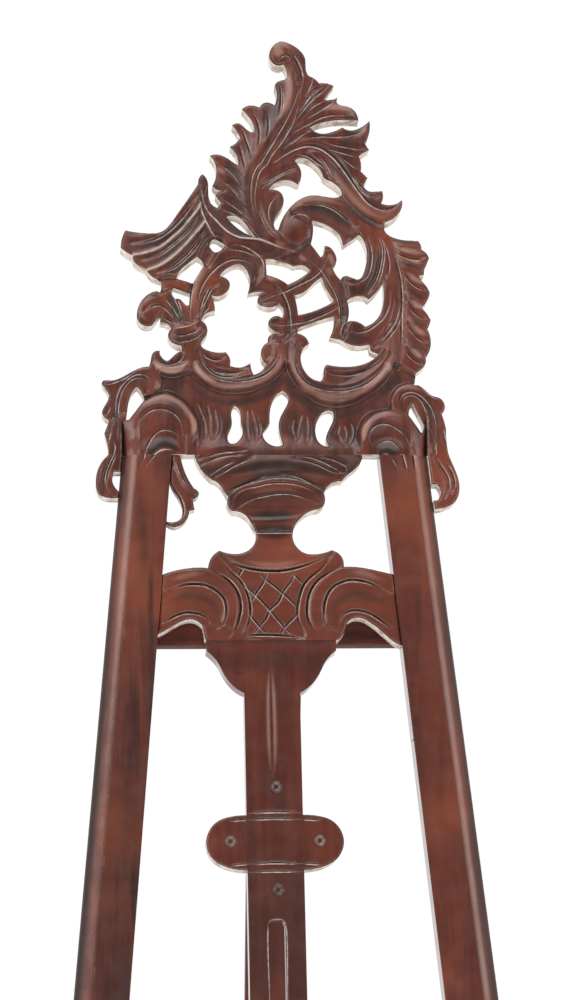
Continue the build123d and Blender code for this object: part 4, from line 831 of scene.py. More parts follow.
def node_outline(node, centre):
    """Closed outlines of a board's flat back, as u and v from a centre line, and its back depth."""
    mesh = frame["nodes"][node].data
    panel = to_panel([p.co for p in mesh.vertices])
    back = panel[:, 2].max()
    key = {}
    keys = [key.setdefault(tuple(corner), len(key)) for corner in np.round(panel, 2)]
    place = np.array(list(key))
    edges = {}
    for face in mesh.polygons:
        corners = [keys[i] for i in face.vertices]
        if min(place[c][2] for c in corners) < back - 0.02:
            continue
        for a, b in zip(corners, corners[1:] + corners[:1]):
            if (b, a) in edges:
                del edges[(b, a)]
            else:
                edges[(a, b)] = True
    loops = [np.array([place[i][:2] for i in ring]) - (centre, 0) for ring in rings(edges.keys())]
    loops = [loop for loop in loops if np.ptp(loop, axis=0).max() > SMALLEST_OPENING]
    return sorted(loops, key=lambda loop: -np.ptp(loop[:, 1])), back


def hex_points(low, high, step):
    """Points on a triangular grid."""
    rows = int((high[1] - low[1]) / (step * ROW_RISE)) + 1
    columns = int((high[0] - low[0]) / step) + 1
    x, y = np.meshgrid(np.arange(columns) * step, np.arange(rows) * step * ROW_RISE)
    x[1::2] += step / 2
    return np.stack([x.ravel(), y.ravel()], -1) + low


def mesh_points(relief, heights, fine, coarse_step):
    """Points for the mesh: close together along gouge lines, wider apart on smooth ground."""
    lined = (relief.pale > 0.1) | (relief.dark > 0.1)
    lined = blurred((lined & relief.inside).astype(float), 0.8) > 0.3
    turned = np.abs(blurred(heights, 0.6) - blurred(heights, 2.2)) > BUSY
    busy = blurred((turned & relief.inside).astype(float), 1.2) > 0.2
    low, high = relief.low + MARGIN, np.array([relief.u[-1], relief.v[-1]])
    inner = (relief.inside & (relief.edge > 0.45 * fine)).astype(float)
    for x in relief.creases:
        inner[:, np.abs(relief.u - x) < 0.8] = 0
    chosen = []
    for step, wanted in ((fine, lined), (MIDDLE, busy & ~lined), (coarse_step, ~busy & ~lined)):
        points = hex_points(low, high, step)
        clear = relief.sampled(inner, points) > 0.99
        chosen.append(points[clear & (relief.sampled(wanted.astype(float), points) > 0.5)])
    return np.vstack(chosen)


def triangles(points, loops, creases=()):
    """Triangles over the points inside the loops, with the loops and creases as edges."""
    rims = [resampled(loop, RIM_STEP) for loop in loops]
    edges, start = [], 0
    for rim in rims:
        n = len(rim)
        edges += [(start + i, start + (i + 1) % n) for i in range(n)]
        start += n
    low, high = loops[0].min(0)[1] + 1.0, loops[0].max(0)[1] - 0.6
    for x in creases:
        run = np.arange(low, high, 1.5)
        rims.append(np.stack([np.full(len(run), x), run], -1))
        edges += [(start + i, start + i + 1) for i in range(len(run) - 1)]
        start += len(run)
    every = np.vstack(rims + [points])
    made = delaunay_2d_cdt([Vector(p) for p in every], edges, [], 0, 1e-5, False)
    place = np.array([tuple(p) for p in made[0]])
    faces = np.array(made[2])
    kept = faces[even_odd(loops, place[faces].mean(1))]
    used = np.unique(kept)
    renumber = np.full(len(place), -1)
    renumber[used] = np.arange(len(used))
    return place[used], renumber[kept]


def even_odd(loops, points):
    """Which points lie inside the loops."""
    inside = np.zeros(len(points), bool)
    for loop in loops:
        for (x1, y1), (x2, y2) in zip(loop, np.roll(loop, -1, axis=0)):
            if y1 == y2:
                continue
            rows = (points[:, 1] > min(y1, y2)) & (points[:, 1] <= max(y1, y2))
            cross = x1 + (points[rows, 1] - y1) / (y2 - y1) * (x2 - x1)
            inside[rows] ^= points[rows, 0] < cross
    return inside


def back_faces(place, rim, back_index):
    """Triangles of the flat back inside the rim."""
    n = len(place)
    back_place = place[list(back_index)]
    edges = [(back_index[p] - n, back_index[q] - n) for p, q in rim]
    flat = delaunay_2d_cdt([Vector(p) for p in back_place], edges, [], 0, 1e-6, True)
    origin_of = [ids[0] for ids in flat[3]]
    flat_place = np.array([tuple(p) for p in flat[0]])
    flat_faces = np.array(flat[2])
    kept = even_odd([place[ring] for ring in rings(rim)], flat_place[flat_faces].mean(1))
    backs = []
    for face in flat_faces[kept]:
        corners = [n + origin_of[i] for i in face]
        p, q, r = (back_place[i - n] for i in corners)
        if np.cross(q - p, r - p) > 0:
            corners.reverse()
        backs.append(tuple(corners))
    return backs


def linked(name, data):
    """A new object in the scene."""
    made = bpy.data.objects.new(name, data)
    bpy.context.scene.collection.objects.link(made)
    return made


def relief_mesh(name, relief, loops, centre, face_depth, back_depth, rounding, fine, coarse_step, on_floor,
                shear, wear_and_highlight):
    """Solid board with the carved face, straight sides and a flat back."""
    heights = relief.heights(rounding)
    wave = blurred(np.random.default_rng(7).normal(size=heights.shape), 9)
    heights = heights + wave / wave.std() * WAVE
    place, faces = triangles(mesh_points(relief, heights, fine, coarse_step), loops, relief.creases)
    face_h = relief.sampled(heights, place)
    # painted shade where the surface lies below its blurred surroundings, with the glaze and painted shade
    # along the cuts
    level = np.where(relief.inside, heights, blurred(heights, 4))
    hollow = np.clip((relief.sampled(blurred(level, 5.0), place) - face_h) / 1.6, 0, 1)
    hollow = np.maximum(hollow, relief.sampled(relief.dark, place))
    # pale where the surface stands above its surroundings and along the pale lines: wear and painted
    # highlight
    edge_line = np.clip((face_h - relief.sampled(blurred(heights, 1.6), place)) / 0.8, 0, wear_and_highlight)
    edge_line = np.maximum(edge_line, relief.sampled(relief.pale, place))
    # painted shade and highlights, and plainly darker wood
    tone = np.clip(relief.sampled(relief.tone, place), -1, 1)

    # outward winding, then the rim: edges used by one face only
    a, b, c = (place[faces[:, i]] for i in range(3))
    turned = np.cross(b - a, c - a) < 0
    faces[turned] = faces[turned][:, ::-1]
    halves = np.vstack([faces[:, [0, 1]], faces[:, [1, 2]], faces[:, [2, 0]]])
    seen = {tuple(e) for e in halves}
    rim = [e for e in seen if (e[1], e[0]) not in seen]
    rim_points = sorted({e[0] for e in rim} | {e[1] for e in rim})
    back_index = {p: len(place) + i for i, p in enumerate(rim_points)}
    back_place = place[rim_points]
    sides = [(q, p, back_index[p], back_index[q]) for p, q in rim]
    backs = back_faces(place, rim, back_index)

    if on_floor:
        # the face reaches the floor lower down the slope than the back does
        drop = (back_depth - face_depth) * SIN / COS
        near_foot = np.clip(1 - (place[:, 1] - place[:, 1].min()) / FOOT_RUN, 0, 1)
        place = place - np.stack([np.zeros(len(place)), drop * near_foot], -1)
    front_x = place[:, 0] + centre - shear * (place[:, 1] - LEG_REF_V)
    back_x = back_place[:, 0] + centre - shear * (back_place[:, 1] - LEG_REF_V)
    points = np.vstack([
        to_world(front_x, place[:, 1], face_depth - face_h),
        to_world(back_x, back_place[:, 1], back_depth),
    ])
    if on_floor:
        points[:, 2] = np.maximum(points[:, 2], 0)
    mesh = bpy.data.meshes.new(name)
    mesh.from_pydata([tuple(p) for p in points], [], [tuple(f) for f in faces] + sides + backs)
    kinds = np.zeros(len(mesh.polygons), np.int32)
    kinds[len(faces):len(faces) + len(sides)] = 1
    mesh.polygons.foreach_set("material_index", kinds)
    for label, values in (("hollow", hollow), ("edge_line", edge_line), ("tone", tone)):
        layer = mesh.attributes.new(label, "FLOAT", "POINT")
        values = np.concatenate([values, np.zeros(len(back_place))])
        layer.data.foreach_set("value", values.astype(np.float32))
    mesh.polygons.foreach_set("use_smooth", np.ones(len(mesh.polygons), bool))
    mesh.update()
    mesh.set_sharp_from_angle(angle=math.radians(CARVED_ANGLE))
    return linked(name, mesh)


# --- materials ----------------------------------------------------------------------
def new_material(name):
    material = bpy.data.materials.new(name)
    material.use_nodes = True
    tree = material.node_tree
    return material, tree, tree.nodes["Principled BSDF"]


def set_inputs(node, values):
    for name, value in values.items():
        node.inputs[name].default_value = value


def stretched(tree, scale):
    """Object coordinates stretched along the grain."""
    coordinates = tree.nodes.new("ShaderNodeTexCoord")
    mapping = tree.nodes.new("ShaderNodeMapping")
    tree.links.new(coordinates.outputs["Object"], mapping.inputs["Vector"])
    set_inputs(mapping, {"Scale": scale})
    return mapping.outputs["Vector"]


def noise_of(tree, vector, scale, detail=4.0, roughness=0.55, distortion=0.0):
    """Noise between 0 and 1."""
    node = tree.nodes.new("ShaderNodeTexNoise")
    tree.links.new(vector, node.inputs["Vector"])
    set_inputs(node, {"Scale": scale, "Detail": detail, "Roughness": roughness, "Distortion": distortion})
    return node.outputs["Fac"]


def ramp(tree, value, low, high, to_low=0.0, to_high=1.0):
    """A smooth step from to_low to to_high while value goes from low to high."""
    node = tree.nodes.new("ShaderNodeMapRange")
    node.interpolation_type = "SMOOTHSTEP"
    tree.links.new(value, node.inputs["Value"])
    set_inputs(node, {"From Min": low, "From Max": high, "To Min": to_low, "To Max": to_high})
    return node.outputs["Result"]


def mixed(tree, factor, a, b):
    """Colour between a and b; each is a socket or an RGB triple."""
    node = tree.nodes.new("ShaderNodeMix")
    node.data_type = "RGBA"
    tree.links.new(factor, node.inputs[0])
    for socket, value in ((node.inputs[6], a), (node.inputs[7], b)):
        if isinstance(value, bpy.types.NodeSocket):
            tree.links.new(value, socket)
        else:
            socket.default_value = (*value, 1)
    return node.outputs[2]


def times(tree, a, b):
    node = tree.nodes.new("ShaderNodeMath")
    node.operation = "MULTIPLY"
    tree.links.new(a, node.inputs[0])
    tree.links.new(b, node.inputs[1])
    return node.outputs[0]


def attribute(tree, name):
    node = tree.nodes.new("ShaderNodeAttribute")
    node.attribute_name = name
    return node.outputs["Fac"]


def bumped(tree, shader, height, strength, distance):
    bump = tree.nodes.new("ShaderNodeBump")
    set_inputs(bump, {"Strength": strength, "Distance": distance})
    tree.links.new(height, bump.inputs["Height"])
    tree.links.new(bump.outputs["Normal"], shader.inputs["Normal"])


GRAIN = {"up": (1.0, 0.20, 0.06), "across": (0.06, 1.0, 1.0)}
RED_BROWN = (0.110, 0.0240, 0.0130)
DEEP_BROWN = (0.042, 0.0105, 0.0070)
WARM = (0.185, 0.0440, 0.0200)
# dark grain streaks, pore filler, and glaze with painted shade in the hollows
GLAZE_AND_SHADE = (0.0130, 0.0080, 0.0065)
# pale lines: wear and painted highlight
PALE_WEAR_AND_HIGHLIGHT = (0.52, 0.40, 0.34)
# painted shade, and the plainly darker tone of the urn and of the left leg low down
SHADE_AND_DARK_TONE = (0.0250, 0.0125, 0.0095)
# painted highlights
PAINTED_HIGHLIGHT = (0.330, 0.190, 0.150)


def mahogany(name, grain, streaks=0.25, seed=0.0, gloss=0.12, glaze_and_painted_light=True, dull=0.0,
             figured=1.0, warm=0.75):
    """Stained and lacquered mahogany; unless turned off, the carved attributes add glaze and painted shade in
    the cuts and hollows, pale lines of wear and painted highlight on the edges, and painted shade and
    highlights from the tone attribute.
    """
    material, tree, shader = new_material(name)
    plain = stretched(tree, (1, 1, 1))
    offset = tree.nodes.new("ShaderNodeVectorMath")
    offset.operation = "ADD"
    tree.links.new(stretched(tree, GRAIN[grain]), offset.inputs[0])
    offset.inputs[1].default_value = (seed, seed * 0.7, seed * 1.3)
    along = offset.outputs[0]
    broad = noise_of(tree, plain, 9.0, 3.0)
    figure = noise_of(tree, along, 70.0, 5.0, 0.6, 0.6)
    pores = noise_of(tree, along, 520.0, 3.0, 0.65)
    streak = noise_of(tree, along, 38.0, 4.0, 0.6, 1.2)
    spread = figured / 2
    colour = mixed(tree, ramp(tree, figure, 0.35, 0.68, 0.5 - spread, 0.5 + spread), RED_BROWN, DEEP_BROWN)
    colour = mixed(tree, ramp(tree, broad, 0.45, 0.75, warm - 0.75, min(warm, 1.0)), colour, WARM)
    colour = mixed(tree, ramp(tree, streak, 0.60, 0.74, 0.0, streaks), colour, GLAZE_AND_SHADE)
    colour = mixed(tree, ramp(tree, pores, 0.62, 0.78, 0.0, 0.55), colour, GLAZE_AND_SHADE)
    if glaze_and_painted_light:
        mottle = noise_of(tree, plain, 160.0, 3.0)
        tone = attribute(tree, "tone")
        # painted shade where tone is below 0, painted highlights where it is above 0
        colour = mixed(tree, ramp(tree, tone, 0.05, -1.0, 0.0, 0.95), colour, SHADE_AND_DARK_TONE)
        colour = mixed(tree, ramp(tree, tone, 0.0, 1.0, 0.0, 0.75), colour, PAINTED_HIGHLIGHT)
        # glaze and painted shade in the hollows and cuts
        hollow = times(tree, attribute(tree, "hollow"), ramp(tree, mottle, 0.2, 0.6, 0.72, 1.0))
        colour = mixed(tree, ramp(tree, hollow, 0.05, 0.8, 0.0, 0.92), colour, GLAZE_AND_SHADE)
        # wear and painted highlight along edges and the lips of cuts
        wear_and_highlight = times(tree, attribute(tree, "edge_line"), ramp(tree, mottle, 0.3, 0.6, 0.60, 1.0))
        colour = mixed(tree, ramp(tree, wear_and_highlight, 0.12, 0.9, 0.0, 0.93), colour, PALE_WEAR_AND_HIGHLIGHT)
    tree.links.new(colour, shader.inputs["Base Color"])
    blotches = noise_of(tree, plain, 60.0, 4.0)
    tree.links.new(ramp(tree, blotches, 0.3, 0.75, 0.30 + dull, 0.46 + dull), shader.inputs["Roughness"])
    shine = 0.42 * (1 - dull * 2)
    set_inputs(shader, {"Specular IOR Level": shine, "Coat Weight": gloss, "Coat Roughness": 0.14})
    bumped(tree, shader, pores, 0.16, 0.0006)
    return material


def sawn_edge():
    """Fretsawn sides of the carved boards: thinly sealed wood with brown smudges, coloured pale cream partly
    as a painted reflection of the white surroundings.
    """
    material, tree, shader = new_material("sawn_edge")
    plain = stretched(tree, (1, 1, 1))
    smudge = noise_of(tree, plain, 85.0, 5.0, 0.6)
    saw = noise_of(tree, stretched(tree, (1.0, 0.12, 1.0)), 620.0, 3.0)
    # pale cream, partly a painted reflection of the white surroundings, with brown smudges
    colour = mixed(tree, ramp(tree, smudge, 0.42, 0.70), (0.72, 0.655, 0.585), (0.30, 0.185, 0.14))
    colour = mixed(tree, ramp(tree, saw, 0.55, 0.8, 0.0, 0.4), colour, (0.40, 0.30, 0.25))
    tree.links.new(colour, shader.inputs["Base Color"])
    set_inputs(shader, {"Roughness": 0.42, "Coat Weight": 0.3, "Coat Roughness": 0.2})
    bumped(tree, shader, saw, 0.3, 0.0005)
    return material


def metal(name, base, dark, tarnish):
    """Aged metal: tarnish in patches and fine brushed scratches."""
    material, tree, shader = new_material(name)
    plain = stretched(tree, (1, 1, 1))
    patches = noise_of(tree, plain, 140.0, 5.0, 0.65)
    scratches = noise_of(tree, stretched(tree, (1.0, 0.08, 0.3)), 1500.0, 2.0)
    colour = mixed(tree, ramp(tree, patches, 0.40, 0.72, 0.0, tarnish), base, dark)
    tree.links.new(colour, shader.inputs["Base Color"])
    tree.links.new(ramp(tree, patches, 0.3, 0.75, 0.24, 0.52), shader.inputs["Roughness"])
    set_inputs(shader, {"Metallic": 1.0})
    bumped(tree, shader, scratches, 0.12, 0.0003)
    return material


def beech():
    """Bare beech dowels with short flecks."""
    material, tree, shader = new_material("beech")
    flecks = noise_of(tree, stretched(tree, (1.0, 1.0, 0.15)), 900.0, 3.0)
    colour = mixed(tree, ramp(tree, flecks, 0.45, 0.7), (0.52, 0.33, 0.19), (0.33, 0.18, 0.09))
    tree.links.new(colour, shader.inputs["Base Color"])
    set_inputs(shader, {"Roughness": 0.6})
    return material


WOOD_UP = mahogany("mahogany_up", "up", 0.30, 0.0)
WOOD_LEFT = mahogany("mahogany_left_leg", "up", 0.85, 0.37, 0.04, dull=0.06)
WOOD_RIGHT = mahogany("mahogany_right_leg", "up", 0.25, 1.21, 0.04, dull=0.06, figured=0.7)
WOOD_MAST = mahogany("mahogany_mast", "up", 0.2, 2.05, figured=0.45)
WOOD_SHOULDER = mahogany("mahogany_shoulder", "up", 0.45, 3.3, figured=0.6)
WOOD_RAIL = mahogany("mahogany_rail", "across", 0.2, 7.4, figured=0.6, warm=1.05)
WOOD_REAR = mahogany("mahogany_rear_leg", "up", 0.25, 5.2, 0.0, False, 0.2)
WOOD_REAR_RAIL = mahogany("mahogany_rear_rail", "across", 0.3, 6.0, 0.0, False, 0.2)
GLOSSY_SIDE = mahogany("mahogany_side", "up", 0.25, 4.1, gloss=1.0, glaze_and_painted_light=False)
WOOD_ACROSS = mahogany("mahogany_across", "across", 0.30, 0.55)
SAWN = sawn_edge()
BRASS = metal("aged_brass", (0.60, 0.40, 0.15), (0.14, 0.085, 0.035), 0.75)
STEEL = metal("plain_steel", (0.52, 0.52, 0.53), (0.17, 0.165, 0.16), 0.5)
BEECH = beech()


# --- pieces -------------------------------------------------------------------------
def placed(piece, body, slot, *nodes):
    """Attach a piece to the body it rides on and hide the CAD nodes it stands for; the slot argument is not
    used.
    """
    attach(piece, body)
    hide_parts(*nodes)
    return piece


def carved(name, node, wood, carve, centre=CARVE_X, face=0.0, rounding=2.5, sides=SAWN, fine=FINE,
           coarse_step=COARSE, on_floor=False, shear=0.0, wear_and_highlight=EDGE_WEAR_AND_HIGHLIGHT):
    """Carved board in place of a CAD node: carve() makes its gouge cuts on the relief."""
    loops, back = node_outline(node, centre)
    if shear:
        loops = [loop + np.stack([shear * (loop[:, 1] - LEG_REF_V), 0 * loop[:, 1]], -1) for loop in loops]
    relief = Relief(loops)
    carve(relief)
    piece = relief_mesh(name, relief, loops, centre, face, back, rounding, fine, coarse_step, on_floor, shear,
                        wear_and_highlight)
    piece.data.materials.append(wood)
    piece.data.materials.append(sides)
    return placed(piece, "frame", "mahogany", node)


def softened(name, node, wood, body, radius):
    """Copy of a CAD node with its sharp edges eased."""
    mesh = frame["nodes"][node].data.copy()
    mesh.name = name
    work = bmesh.new()
    work.from_mesh(mesh)
    bmesh.ops.remove_doubles(work, verts=work.verts, dist=0.00002)
    bmesh.ops.dissolve_limit(work, angle_limit=math.radians(1.0), verts=work.verts, edges=work.edges)
    eased = math.radians(EASED_ANGLE)
    sharp = [e for e in work.edges if len(e.link_faces) == 2 and e.calc_face_angle() > eased]
    bmesh.ops.bevel(work, geom=sharp, offset=radius * MM, segments=3, profile=0.5, affect="EDGES",
                    clamp_overlap=True)
    bmesh.ops.triangulate(work, faces=[f for f in work.faces if len(f.verts) > 4])
    work.to_mesh(mesh)
    work.free()
    mesh.polygons.foreach_set("use_smooth", np.ones(len(mesh.polygons), bool))
    mesh.set_sharp_from_angle(angle=math.radians(PLAIN_ANGLE))
    mesh.materials.clear()
    mesh.materials.append(wood)
    return placed(linked(name, mesh), body, "mahogany", node)


# --- carving each board -------------------------------------------------------------
def carve_crest(r):
    r.lifts(GROUND_LIFTS)
    for line in WING_LINES[:2]:     # the wing's feathers lie like steps
        r.lift(line + WING_BACK, 2.0, 1.2)
    r.lifts(TALL_LEAF_LIFTS)
    for centre, radius, height in CREST_DOMES:
        r.dome(centre, radius, height)
    # bowls: rims that rise to a ridge and fall away below in a broad bevel
    for points, width, height in zip(BOWL_LINES, (7.5, 10.0, 11.5), (3.4, 5.0, 5.4)):
        line = smooth_line(points)
        inner = line + sideways(line) * width * 0.75
        r.stroke(r.rises, inner, width, height, tent, (0.5, 0.5), fit=False)
    r.veins(BOWL_VEINS, 1.3, 1.8, 4.5, 2.2)
    r.lifts(CAP_LIFTS)
    for line in CAP_HOLLOWS:
        r.stroke(r.hollows, line, 8.0, 1.6, bell, (0.4, 0.4))
    # painted shade in the crescents under the caps
    r.tint(CAP_HOLLOWS, 9.0, -1.0)
    r.tint(CAP_HOLLOWS, 5.0, -0.5)
    r.veins(CAP_VEINS, 1.1, 1.5, 3.5, 0.8)
    r.ridges(CAP_LIPS, 1.4, 0.8, pale=0.9)
    r.ridges(FEATHER_RIDGES, 6.0, 2.2)
    r.stroke(r.hollows, FEATHER_HOLLOW, 7.0, 2.0, bell)
    r.veins(TALL_LEAF_VEINS, 1.1, 1.4, 4.2, 0.75, 0.68)
    for line in SECOND_LEAF_LINES:
        r.stroke(r.hollows, [(x + 2.2, y + 2.6) for x, y in line], 4.0, 2.2, bell)
    r.ridges(SECOND_LEAF_LINES, 1.9, 1.1, pale=1.0)
    r.veins(SECOND_LEAF_VEINS)
    r.veins(SCROLL_VEINS, 1.1, 1.4, 5.0, 1.4)
    r.veins(WING_VEINS, 1.1, 1.5, 5.5, 2.0)
    r.ridges(WING_LINES[:2], 2.4, 1.7, (0.9, 0.95), pale=1.0)
    r.ridges(WING_LINES[2:], 1.9, 1.3, pale=0.9)
    r.veins(KNOT_VEINS, 1.3, 1.8, 4.0, 1.6)
    r.veins(STRAP_VEINS, 1.2, 1.7, 5.0, 1.0)
    for line in REED_LINES:
        r.stroke(r.hollows, line, 5.5, 1.6, bell, (0.5, 0.5))
    r.ridges(REED_LINES, 2.0, 2.0, pale=0.35)
    r.veins(EAR_VEINS, 1.0, 1.4, 3.6, 1.0)
    r.veins([DROP_VEINS[0][:3], DROP_VEINS[2][:1] + [(168, 1478)]], 1.0, 1.2, 4.0, 1.2)
    r.veins(URN_VEINS[:2] + URN_VEINS[5:6], 1.0, 1.2, 3.5, 1.0)
    r.veins(VOLUTE_VEINS)
    r.ridges(VOLUTE_LINES, 1.3, 0.6, pale=0.8)
    # down to the height of the boards below at the seam, with the legs' moulded edges running up
    above = r.v[:, None] - SEAM_V
    middle = np.abs(r.u[None, :]) < BETWEEN_LEGS
    meet = np.clip(above / np.where(middle, *SEAM_FADES), 0, 1)
    r.level = r.level * meet * meet * (3 - 2 * meet) - np.where(middle, SEAM_DEEP * (1 - meet), 0)
    # painted shade in the recesses and painted highlights on the swells
    r.tints(CREST_DARK)
    r.tints(CREST_LIGHT)
    for side in (-1, 1):
        outer = LEG_OUTER + LEG_OUTER_SLOPE * (LEG_REF_V - SEAM_V) - side * CARVE_X
        d = (outer - side * r.u[None, :]) / OVOLO_W
        fade = np.clip(1 - (above - EDGE_START) / EDGE_FADE, 0, 1)
        r.level -= np.where(d > 0, moulded_edge(d), 0) * fade


def carve_urn(r):
    r.level -= SEAM_DEEP * np.clip(1 - (SEAM_V - r.v[:, None]) / URN_FADE, 0, 1) ** 1.5
    # the whole urn board darker
    r.tone -= 0.3
    r.lift(URN_BODY, 2.8, 3.0)
    r.veins(URN_VEINS[:-1], 1.1, 1.5, 3.5, 1.1)
    r.veins(URN_VEINS[-1:], 1.3, 1.2, 3.0, 0.8, 0.15)
    r.ridges(URN_LINES, 1.8, 1.6, pale=0.5)
    r.stroke(r.hollows, URN_HOLLOW, 7.0, 0.7, bell)
    # painted shade in the hollows and painted highlights on the rims
    r.tints(URN_TINTS)


def carve_lattice(r):
    r.lifts(RAIL_LIFTS)
    r.veins(LATTICE_VEINS, 1.6, 2.3, 2.8, 0.4)
    r.veins(LATTICE_CROSSES, 1.4, 1.8, 2.6, 0.4, blunt=0.8)
    # painted shade in the hollows and painted highlights on the swells
    r.tints(RAIL_TINTS)


def carve_drop(r):
    r.veins(DROP_VEINS, 1.0, 1.5, 4.5, 1.8)


def carve_tendril(r):
    r.veins(TENDRIL_VEINS, 1.1, 1.6, 4.0, 1.4)
    r.ridges([TENDRIL_LINE], 2.5, 1.4)


def moulded_edge(d):
    """How far the legs' moulded edge lies behind the face; d is 0 at the outer edge and 1 at the step."""
    tilt = EDGE_TILT * np.clip(1 - d, 0, 1)
    curve = (OVOLO_D - EDGE_TILT) * (1 - np.sqrt(1 - np.clip(1 - d, 0, 1) ** 2))
    return np.where(d < 1, QUIRK + tilt + curve, 0)


def carve_leg(side, cuts):
    """Moulded outer edge with a small step, and the ends of the cap's arcs."""
    def carve(r):
        d = (LEG_OUTER - side * r.u[None, :]) / OVOLO_W
        r.level -= moulded_edge(d)
        near = r.u[np.abs(r.u - side * (LEG_OUTER - OVOLO_W)) < CELL * 1.01]
        r.creases = [near[0], near[-1]]
        shear = side * LEG_OUTER_SLOPE
        # painted shade on the outer part of the moulded edge, and a painted highlight near the step
        outer = bell(np.clip(np.abs(d - 0.12) / 0.4, 0, 1))
        inner = bell(np.clip(np.abs(d - 0.72) / 0.3, 0, 1))
        r.tone += 0.65 * inner - 0.60 * outer
        r.tone += LEG_TONE[side] * np.clip((DARKENING_TOP - r.v[:, None]) / DARKENING_RUN, 0, 1)
        upright = [[(x + CARVE_X + shear * (y - LEG_REF_V), y) for x, y in line] for line in cuts]
        r.veins(upright, 1.1, 1.4, 4.0, 0.8)
    return carve


# --- the mast: heights and tones up its rolled head, which the shoulders share -------
HEAD_HEIGHTS = ((1238, 0.0), (1246, 0.5), (1254, 2.0), (1260, 2.9), (1266, 3.0), (1269.5, 3.0), (1272.3, 2.9))
# painted light and shade up the mast: darker towards the bottom, painted shade below the roll, a painted
# highlight on it, and a painted shadow under the lattice block
HEAD_TONES = ((1020, -0.45), (1150, 0.0), (1235, 0.0), (1250, -0.4), (1258, -0.25), (1263, 0.08),
              (1268, 0.08), (1271, -0.3), (1272.3, -0.9))
GROOVE_LINES = ((1098.0, 1.2), (1091.5, 0.8), (1047.5, 0.8), (1039.5, 0.6))     # height and bow
GROOVE = (1.1, 1.3, 3.0, 0.5, 0.8)      # as for Relief.veins
FLUTE_X = -1.2
FLUTE_HALF = 3.1        # from the flute's middle to the painted highlights along its banks
FLUTE_BANK = ((0.2, 1254), (0.7, 1232), (1, 1200), (1, 1165), (0.7, 1145), (0, 1133))
SLOT_HALF = 8.5
SLOT_RIM = [(-SLOT_HALF, 905), (-SLOT_HALF, 985), (-6, 991), (0, 992.5), (6, 991), (SLOT_HALF, 985),
            (SLOT_HALF, 905), (SLOT_HALF, 475), (-SLOT_HALF, 475), (-SLOT_HALF, 905)]
DIMPLE_R = 6.2
DIMPLE_REACH = 7.5
DIMPLE_DEEP = 2.6


def mast_head(r):
    """The rolled head, shared by the mast and its shoulders."""
    r.level += np.interp(r.v, *zip(*HEAD_HEIGHTS))[:, None]
    # painted shade and highlights up the head
    r.tone += np.interp(r.v, *zip(*HEAD_TONES))[:, None]


def carve_mast(r):
    mast_head(r)
    flute = np.zeros(r.level.shape)
    r.stroke(flute, [(FLUTE_X, v) for v in (1252, 1230, 1165, 1133)], 4.8, 1.0, bell, (0.1, 0.1))
    r.level -= flute
    banks = [[(FLUTE_X + side * FLUTE_HALF * out, v) for out, v in FLUTE_BANK] for side in (-1, 1)]
    # painted highlights along the flute's banks, and painted shade down its middle
    r.tint(banks, 3.6, 0.55)
    r.tint([[(FLUTE_X, 1240), (FLUTE_X, 1150)]], 1.8, -0.3)
    r.veins([[(-MAST_HALF, v), (0, v + bow), (MAST_HALF, v)] for v, bow in GROOVE_LINES], *GROOVE)
    for v in (1124, 1022):
        dimple(r, 2.0, v)
    # a pale line round the slot's rim: wear and painted highlight
    r.stroke(r.pale, SLOT_RIM, 1.3, 0.75, bell, (1, 1))


def dimple(r, x, v):
    """A turned dimple with glaze and painted shade in a ring round it and at its centre, and a painted
    highlight between.
    """
    window, distance = r.around(x, v, DIMPLE_REACH)
    q = distance / DIMPLE_R
    r.level[window] -= DIMPLE_DEEP * np.clip(1 - q ** 2, 0, 1)
    ring, centre = 0.75 * bell((q - 1.02) / 0.2), 0.4 * bell(q / 0.4)
    r.dark[window] = np.maximum(r.dark[window], np.maximum(ring, centre))
    r.tone[window] += 0.55 * bell((q - 0.55) / 0.4)


def carve_ear(side):
    def carve(r):
        grooves = GROOVE_LINES[1:3]
        r.veins([[(side * 26, v), (side * 36, v - 0.3), (side * 46, v - 1.2)] for v, _ in grooves], *GROOVE)
        dimple(r, side * 44.2, 1070)
    return carve


carved("crest", "crest_panel", WOOD_UP, carve_crest)
carved("urn", "urn_splat", WOOD_ACROSS, carve_urn, fine=0.6)
carved("carved_rail", "lattice_rail", WOOD_RAIL, carve_lattice, face=3.0, fine=0.6)
carved("ear_drop_left", "left_ear_drop", WOOD_UP, carve_drop)
carved("ear_drop_right", "right_ear_drop", WOOD_UP, carve_drop)
carved("tendril", "inner_tendril", WOOD_UP, carve_tendril, face=2.0, rounding=3.0)
for side, node, wood in ((-1, "left_leg", WOOD_LEFT), (1, "right_leg", WOOD_RIGHT)):
    carved(node + "_wood", node, wood, carve_leg(side, LEG_CUTS[node]), 0.0, rounding=0.8, sides=GLOSSY_SIDE,
           coarse_step=3.6, on_floor=True, shear=side * LEG_OUTER_SLOPE, wear_and_highlight=0.2)
carved("mast_wood", "mast", WOOD_MAST, carve_mast, MAST_X, 6.0, 0.6, GLOSSY_SIDE, fine=0.55, coarse_step=3.0,
       wear_and_highlight=0.12)
for node in ("mast_shoulder_left", "mast_shoulder_right"):
    carved(node + "_wood", node, WOOD_SHOULDER, mast_head, MAST_X, 6.0, 0.8, GLOSSY_SIDE, wear_and_highlight=0.12)
for side, node in ((-1, "boss_ear_left"), (1, "boss_ear_right")):
    carved(node + "_wood", node, WOOD_SHOULDER, carve_ear(side), MAST_X, 6.0, 2.0, SAWN, fine=0.55, wear_and_highlight=0.2)

